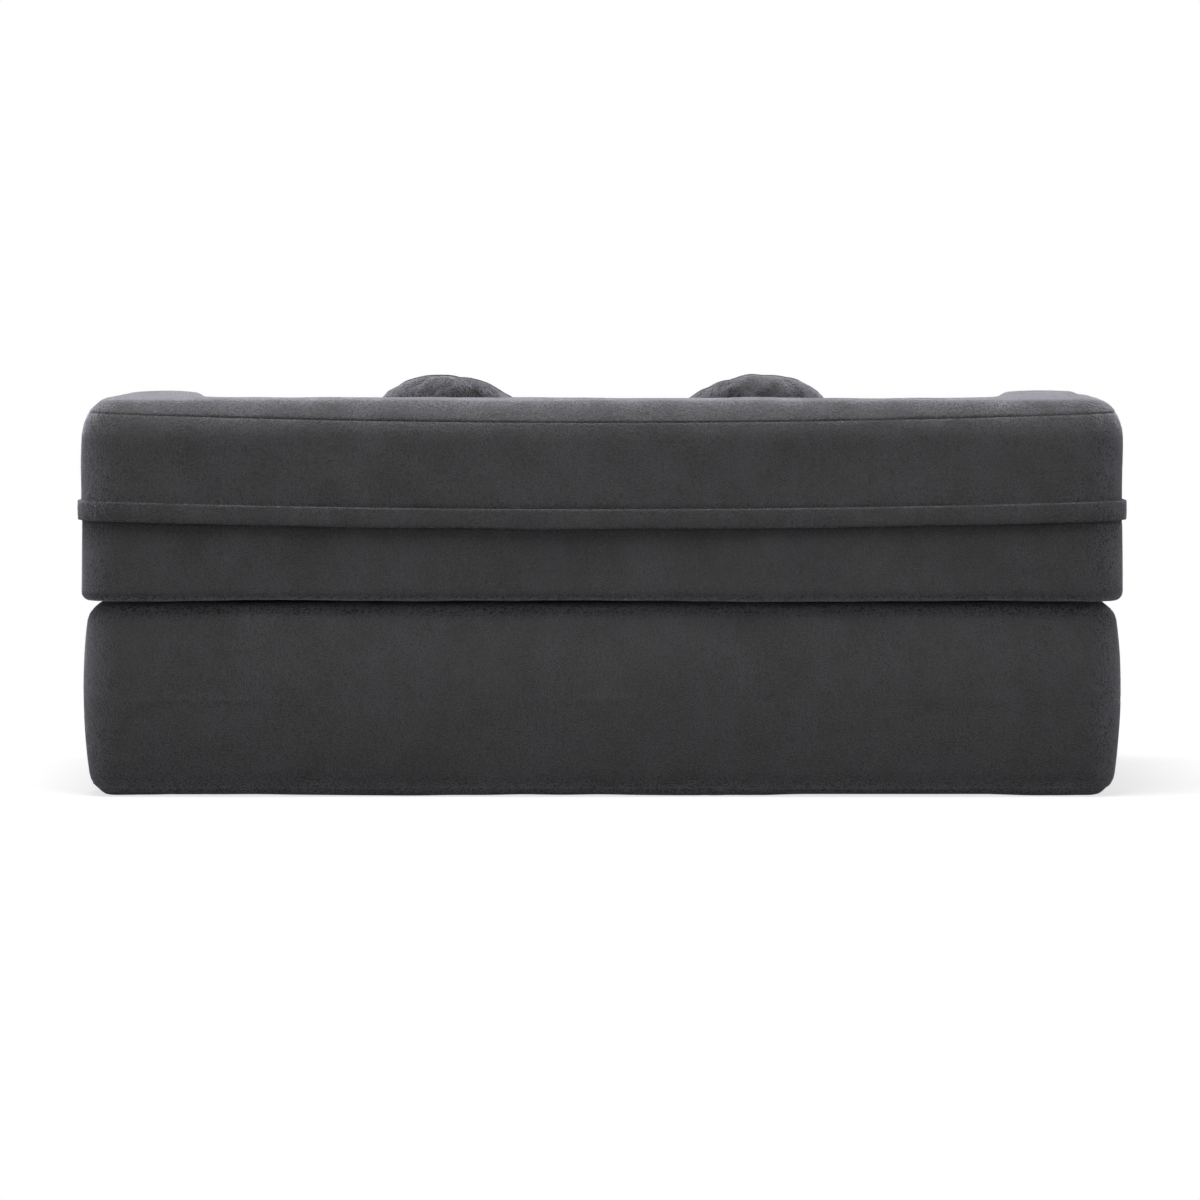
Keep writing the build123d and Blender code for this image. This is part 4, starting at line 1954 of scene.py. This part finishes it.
@dataclass(frozen=True)
class Zipper:
    """Zip round sides and back: tapes and coil. Its slider and stops are the solids themselves."""

    coil_pitch: float = 1.6 * MM
    coil_inset: float = 2.3 * MM
    coil_step: float = 0.55 * MM
    lean: float = 0.12
    turn_size: tuple[float, float, float] = (2.35 * MM, 0.66 * MM, 1.15 * MM)
    tape_rows: tuple[tuple[float, float], ...] = (
        (-1.8, 2.6), (-1.2, 3.0), (-1.1, 3.8), (-1.7, 4.4),
        (-1.8, 9.5), (-2.6, 12.0), (-3.6, 12.0), (-3.4, 2.6),
    )

    def tape(self, name: str, way: int, finish: Finish) -> None:
        """Builds a tape, with a raised cord beside the coil.

        Args:
            name: Its name.
            way: 1 over the coil, -1 under it.
            finish: Finish of the tape.
        """
        outline = section_outline()
        chosen = in_order(outline.ring(0.0)[:, 1] > SIZES.zip_start)
        rows = [
            at_height(outline.ring(-off * MM)[chosen], SIZES.zip_level + way * rise * MM)
            for off, rise in self.tape_rows
        ]
        piece = skin(f"zip_{name}_tape", rows + rows[:1], closed=False)
        close_ends(piece)
        attach(piece, finish, "seat")
        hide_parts(f"zipper_{name}_tape")
        log.info("%s: %d points", piece.name, len(piece.data.vertices))

    def coil(self, finish: Finish) -> None:
        """Builds the coil's turns, which reach over from both tapes in turn.

        Args:
            finish: Finish of the coil.
        """
        ring = section_outline().ring(self.coil_inset)
        chosen = in_order(ring[:, 1] > SIZES.zip_start + 6 * MM)
        path = at_height(ring, SIZES.zip_level)[chosen]
        places, along, outward = spaced(path, self.coil_pitch, False, plan_normals(ring)[chosen])
        upward = np.tile([0.0, 0.0, 1.0], (len(places), 1))
        turn = np.where(np.arange(len(places)) % 2 == 0, 1.0, -1.0)
        places = places + upward * (turn * self.coil_step)[:, None]
        lean = upward + along * (turn * self.lean)[:, None]
        lean /= np.linalg.norm(lean, axis=1)[:, None]
        piece = capsules("zip_coil", places, lean, outward, self.turn_size, dip=0.5 * MM)
        attach(piece, finish, "seat")
        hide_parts("zipper_chain")
        log.info("%s: %d turns", piece.name, len(places))

    def build(self, wardrobe: Wardrobe) -> None:
        """Builds the zip and dresses its metal parts.

        Args:
            wardrobe: The sofa's finishes.
        """
        self.tape("upper", 1, wardrobe.tape)
        self.tape("lower", -1, wardrobe.tape)
        self.coil(wardrobe.coil)
        for node in ("zipper_slider", "zipper_stops"):
            wardrobe.metal.dress(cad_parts[node])


@dataclass
class SideZip:
    """Short zip in the side wall of a lower section, between two folded lips of cloth."""

    body: str
    height: float
    pitch: float = 1.6 * MM
    turn_size: tuple[float, float, float] = (2.0 * MM, 0.66 * MM, 0.8 * MM)
    tab_length: float = 21 * MM
    lip_rows: tuple[tuple[float, float], ...] = (
        (-1.5, 1.3), (0.6, 1.1), (1.9, 1.5), (2.3, 2.8),
        (1.9, 4.8), (1.1, 7.2), (0.3, 9.0), (-1.0, 10.5),
    )
    tape_rows: tuple[tuple[float, float], ...] = (
        (0.0, -6.0), (0.6, -4.0), (0.6, 4.0), (0.0, 6.0),
        (-1.0, 6.0), (-1.0, -6.0), (0.0, -6.0),
    )

    def __post_init__(self) -> None:
        """Finds the wall that the zip is sewn in, and the zip's front and rear end."""
        self.wall = -SIZES.side + float(barrel(self.height))
        low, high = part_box(f"{self.body}_zip")
        self.front, self.rear = low.y, high.y

    def lips(self, cloth: Finish) -> None:
        """The two folded lips that half cover the zip.

        Args:
            cloth: Finish of the lips.
        """
        front, rear = self.front, self.rear
        past = np.array([5 * MM, 9 * MM, 12 * MM])
        along = np.concatenate([front - past[::-1], np.linspace(front, rear, 90), rear + past])
        opened = smooth_step(front - 12 * MM, front + 4 * MM, along)
        ends = opened * (1 - smooth_step(rear - 4 * MM, rear + 12 * MM, along))
        sway = waves(along[:, None], 0.12, 5) * 0.25 * MM
        halves = []
        for name, way in (("lips", 1), ("lip_low", -1)):
            rows = []
            for off, rise in self.lip_rows[::way]:
                level = self.height + way * (rise * MM + sway * (rise < 3))
                wall = -SIZES.side + barrel(level)
                rows.append(np.column_stack([wall - off * MM * ends, along, level]))
            halves.append(skin(f"{self.body}_zip_{name}", rows, closed=False))
        join(*halves)
        attach(halves[0], cloth, self.body)

    def chain(self, wardrobe: Wardrobe) -> None:
        """The coil between the lips, and the tape under it.

        Args:
            wardrobe: The sofa's finishes.
        """
        front, rear = self.front, self.rear
        along = np.arange(front + 2 * MM, rear - 2 * MM, self.pitch)
        turn = np.where(np.arange(len(along)) % 2 == 0, 1.0, -1.0)
        x = np.full(len(along), self.wall - 0.9 * MM)
        centres = np.column_stack([x, along, self.height + turn * 0.4 * MM])
        up, out = (np.tile(way, (len(along), 1)) for way in ([0.0, 0.0, 1.0], [-1.0, 0.0, 0.0]))
        coil = capsules(f"{self.body}_zip_coil", centres, up, out, self.turn_size, dip=0.3 * MM)
        ys = np.linspace(front - 3 * MM, rear + 3 * MM, 40)
        still = np.ones(len(ys))
        rows = [
            np.column_stack([(self.wall - off * MM) * still, ys, (self.height + rise * MM) * still])
            for off, rise in self.tape_rows
        ]
        tape = skin(f"{self.body}_zip_tape", rows, closed=False)
        close_ends(tape)
        attach(coil, wardrobe.coil, self.body)
        attach(tape, wardrobe.tape, self.body)
        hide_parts(f"{self.body}_zip")

    def slider(self, finish: Finish) -> None:
        """The slider with its small tab.

        Args:
            finish: Finish of the metal.
        """
        x, y, z = self.wall - 2.4 * MM, self.front + 9 * MM, self.height
        body = rounded_block((2.6 * MM, 9.0 * MM, 6.4 * MM), 0.7 * MM, (x, y, z))
        bridge = rounded_block((1.6 * MM, 4.6 * MM, 1.8 * MM), 0.5 * MM, (x - 1.7 * MM, y, z))
        middle = (x - 2.3 * MM, y, z - self.tab_length / 2 + 1 * MM)
        tab = rounded_block((0.9 * MM, 5.0 * MM, self.tab_length), 0.4 * MM, middle)
        body.name = f"{self.body}_zip_slider"
        join(body, bridge, tab)
        attach(body, finish, self.body)

    def build(self, wardrobe: Wardrobe) -> None:
        """Builds lips, coil, tape and slider.

        Args:
            wardrobe: The sofa's finishes.
        """
        self.lips(wardrobe.velour)
        self.chain(wardrobe)
        self.slider(wardrobe.metal)
        log.info("%s_zip: built", self.body)


def rounded_block(size: tuple, bevel: float, place: tuple) -> Object:
    """A small block with rounded edges.

    Args:
        size: Its lengths.
        bevel: Radius of its edges.
        place: Its middle.

    Returns:
        The new object.
    """
    mesh = bpy.data.meshes.new("block")
    with editing(mesh) as work:
        bmesh.ops.create_cube(work, size=1.0)
        bmesh.ops.scale(work, vec=size, verts=work.verts)
        bmesh.ops.bevel(
            work, geom=work.edges[:], offset=bevel, segments=3, affect="EDGES", profile=0.5
        )
        bmesh.ops.translate(work, vec=place, verts=work.verts)
    return put("block", mesh)


def join(first: Object, *others: Object) -> None:
    """Joins meshes into the first one and removes the others.

    Args:
        first: The piece that stays.
        *others: The pieces that go into it.
    """
    with editing(first.data) as work:
        for other in others:
            work.from_mesh(other.data)
    for other in others:
        bpy.data.objects.remove(other)


@dataclass(frozen=True)
class GripPanel:
    """Non-slip cloth on the face of a section, with a bound edge and rubber dots."""

    body: str
    faces_up: bool
    pitch: float = 20 * MM
    margin: float = 22 * MM
    dot: float = 2.6 * MM
    dot_height: float = 0.5 * MM
    corner: float = 24 * MM
    edge_rows: tuple[tuple[float, float], ...] = (
        (0.3, 0.15), (3.0, 0.35), (9.5, 0.3), (11.0, 0.0), (14.0, 0.0),
    )

    @property
    def way(self) -> int:
        """1 where the cloth faces up, else -1."""
        return 1 if self.faces_up else -1

    def build(self, wardrobe: Wardrobe) -> None:
        """Builds the cloth, its dots and its stitches.

        Args:
            wardrobe: The sofa's finishes.
        """
        node, way = f"{self.body}_grip_panel", self.way
        low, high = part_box(node)
        out, back = (high.z, low.z) if self.faces_up else (low.z, high.z)
        spots = ((low.x, low.y, 60), (high.x, low.y, 30), (high.x, high.y, 60), (low.x, high.y, 30))
        outline = Outline(tuple(Corner(x, y, self.corner, 8, steps) for x, y, steps in spots))
        face = out - way * self.dot_height
        ring = outline.ring(14 * MM)
        line = centre_line(ring)
        rows = [at_height(ring + (line - ring) * t, back) for t in np.linspace(1.0, 0.0, 12)[:-1]]
        rows += [outline.at(inset * MM, back) for inset in (4.0, 0.6)]
        rows.append(outline.at(0.0, back + way * 0.6 * MM))
        rows += [outline.at(inset * MM, face + way * lift * MM) for inset, lift in self.edge_rows]
        rows += [at_height(ring + (line - ring) * t, face) for t in np.linspace(0.0, 1.0, 20)[1:]]
        cloth = skin(f"{self.body}_grip_cloth", rows)
        wardrobe.grip.dress(cloth)
        dots = self.dots(low, high, face)
        wardrobe.dots.dress(dots)
        path = outline.at(6 * MM, face + way * 0.45 * MM)
        run = StitchRun(f"{self.body}_grip_stitches", thread=0.35 * MM)
        stitches = run.build(path, np.tile([0.0, 0.0, way], (len(path), 1)), True, wardrobe.thread)
        for piece in (cloth, dots, stitches):
            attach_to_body(piece, self.body)
        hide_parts(node)
        log.info("%s: built", cloth.name)

    def dots(self, low: Vector, high: Vector, level: float) -> Object:
        """The rubber dots in staggered rows.

        Args:
            low: Lowest corner of the cloth.
            high: Its highest corner.
            level: Level of the cloth's outer face.

        Returns:
            The dots.
        """
        sides = 8
        xs = np.arange(low.x + self.margin, high.x - self.margin, self.pitch)
        ys = np.arange(low.y + self.margin, high.y - self.margin, self.pitch)
        turn = np.linspace(0.0, FULL_TURN, sides, endpoint=False)
        rings = [
            np.column_stack([reach * np.cos(turn), reach * np.sin(turn), np.full(sides, height)])
            for reach, height in ((1.0, -0.1), (0.8, 0.7), (0.45, 0.98))
        ]
        local = np.concatenate(rings) * np.array([self.dot, self.dot, self.dot_height * self.way])
        faces = [tuple(range(2 * sides, 3 * sides))[:: self.way]]
        for at in (0, sides):
            for i in range(sides):
                j = (i + 1) % sides
                faces.append((at + i, at + j, at + sides + j, at + sides + i)[:: self.way])
        points, whole = [], []
        for row, y in enumerate(ys):
            for x in xs + (row % 2) * self.pitch / 2:
                whole += [tuple(v + len(points) * len(local) for v in face) for face in faces]
                points.append(local + np.array([x, y, level]))
        mesh = plain_mesh(f"{self.body}_grip_dots", np.concatenate(points), whole)
        shade_smooth(mesh)
        return put(mesh.name, mesh)


@dataclass(frozen=True)
class Studio:
    """White ground, soft lamps and the camera behind the sofa."""

    distance: float = 10.0
    camera_height: float = 0.773
    aim_height: float = 0.288
    sideways: float = 3 * MM
    view_width: float = 1.739
    sensor: float = 36.0
    ground_reach: float = 40.0
    ground_grey: float = 0.22
    ground_glow: float = 0.75
    white_from: float = 1.3
    white_to: float = 2.6
    sky_light: float = 0.16
    lamps: tuple[tuple, ...] = (
        ("overhead", (0.3, 0.9, 4.2), (0.0, 0.1, 0.4), 2.2, 300.0),
        ("behind", (-1.2, 4.6, 3.6), (0.0, 0.2, 0.3), 1.8, 30.0),
        ("before", (0.6, -4.8, 3.2), (0.0, 0.0, 0.3), 3.0, 60.0),
    )

    def ground(self) -> None:
        """A plain pale floor that shows the sofa's shadow and turns white away from it."""
        reach = self.ground_reach
        corners = reach * np.array([(-1, -1, 0), (1, -1, 0), (1, 1, 0), (-1, 1, 0)])
        mesh = plain_mesh("ground", corners, [(0, 1, 2, 3)])
        put("ground", mesh)
        made = bpy.data.materials.new("pale_ground")
        made.use_nodes = True
        made.node_tree.nodes.clear()
        links = Links(made.node_tree)
        seen = links.in_sight()
        glow = links.white(links.math("MULTIPLY", seen, self.ground_glow))
        grey = (*[self.ground_grey] * 3, 1)
        matte = links.add("ShaderNodeBsdfDiffuse", {"Color": grey}).outputs[0]
        near = links.add("ShaderNodeAddShader", {0: glow, 1: matte}).outputs[0]
        place = links.add("ShaderNodeTexCoord").outputs["Object"]
        off = links.add("ShaderNodeVectorMath", {0: place}, operation="LENGTH").outputs["Value"]
        away = links.spread(off, self.white_from, self.white_to, 0.0, 1.0)
        away = links.math("MULTIPLY", away, seen)
        both = links.add("ShaderNodeMixShader", {0: away, 1: near, 2: links.white(1.0)})
        links.add("ShaderNodeOutputMaterial", {0: both.outputs[0]})
        mesh.materials.append(made)

    def sky(self) -> None:
        """White behind the sofa, and an even light from all round."""
        world = bpy.data.worlds.new("studio_white")
        world.use_nodes = True
        world.node_tree.nodes.clear()
        links = Links(world.node_tree)
        lit = links.math("MULTIPLY", links.in_sight(), 1 - self.sky_light)
        strength = links.math("ADD", lit, self.sky_light)
        light = links.add("ShaderNodeBackground", {"Color": (1, 1, 1, 1), "Strength": strength})
        links.add("ShaderNodeOutputWorld", {0: light.outputs[0]})
        bpy.context.scene.world = world

    @staticmethod
    def point(item: Object, place: tuple, aim: tuple) -> None:
        """Sets a lamp or the camera at a place and turns it to a point."""
        item.location = place
        item.rotation_euler = (Vector(aim) - Vector(place)).to_track_quat("-Z", "Y").to_euler()

    def camera(self) -> None:
        """The camera, far off and a little above the sofa's back."""
        data = bpy.data.cameras.new("view")
        data.sensor_width = self.sensor
        data.lens = self.sensor * self.distance / self.view_width
        data.clip_end = 200.0
        camera = put("view", data)
        place = (self.sideways, SIZES.back + self.distance, self.camera_height)
        self.point(camera, place, (self.sideways, SIZES.back, self.aim_height))
        bpy.context.scene.camera = camera

    def build(self) -> None:
        """Sets up ground, sky, square soft lamps and camera."""
        self.ground()
        self.sky()
        for name, place, aim, size, power in self.lamps:
            data = bpy.data.lights.new(name, "AREA")
            data.size = size
            data.energy = power
            self.point(put(name, data), place, aim)
        self.camera()
        bpy.context.scene.view_settings.view_transform = "Standard"


def main() -> None:
    """Builds every piece in order."""
    logging.basicConfig(level=logging.INFO, format="%(name)s: %(message)s")
    s, wardrobe = SIZES, Wardrobe()
    rear = FoldPanel(
        "rear_fold_panel", Side.BACK, (9 * MM, 325 * MM), over_top=True,
        bodies=("middle", "bottom"), fold_height=142 * MM, flat=(1.63, 0.316), seed=91,
    )
    front = FoldPanel(
        "front_fold_panel", Side.FRONT, (s.front_panel_low, s.front_panel_high), over_top=False,
        bodies=("seat", "middle"), fold_height=284 * MM, flat=(1.63, 0.113), seed=95,
    )
    for piece in (
        Section("bottom", 1.7 * MM, s.bottom_top, LOWEST_EDGE_RADIUS, 16 * MM, BOTTOM_ZIP, 11),
        Section("middle", s.middle_base, MIDDLE_HEAD, 16 * MM, MIDDLE_HEAD_RADIUS, MIDDLE_ZIP, 21),
    ):
        piece.build(wardrobe.velour)
    rear.build(wardrobe)
    front.build(wardrobe)
    for piece in (SeatBase(), SeatPanel(), Bolster(), ZipFlap()):
        piece.build(wardrobe.velour)
    for piece in (
        Zipper(), SideZip("bottom", BOTTOM_ZIP), SideZip("middle", MIDDLE_ZIP),
        GripPanel("bottom", False), GripPanel("middle", True), GripPanel("seat", False),
    ):
        piece.build(wardrobe)
    LoosePillow(Hand.LEFT, 7).build(wardrobe.pillow)
    LoosePillow(Hand.RIGHT, 17).build(wardrobe.pillow)
    Studio().build()


if __name__ == "__main__":
    main()
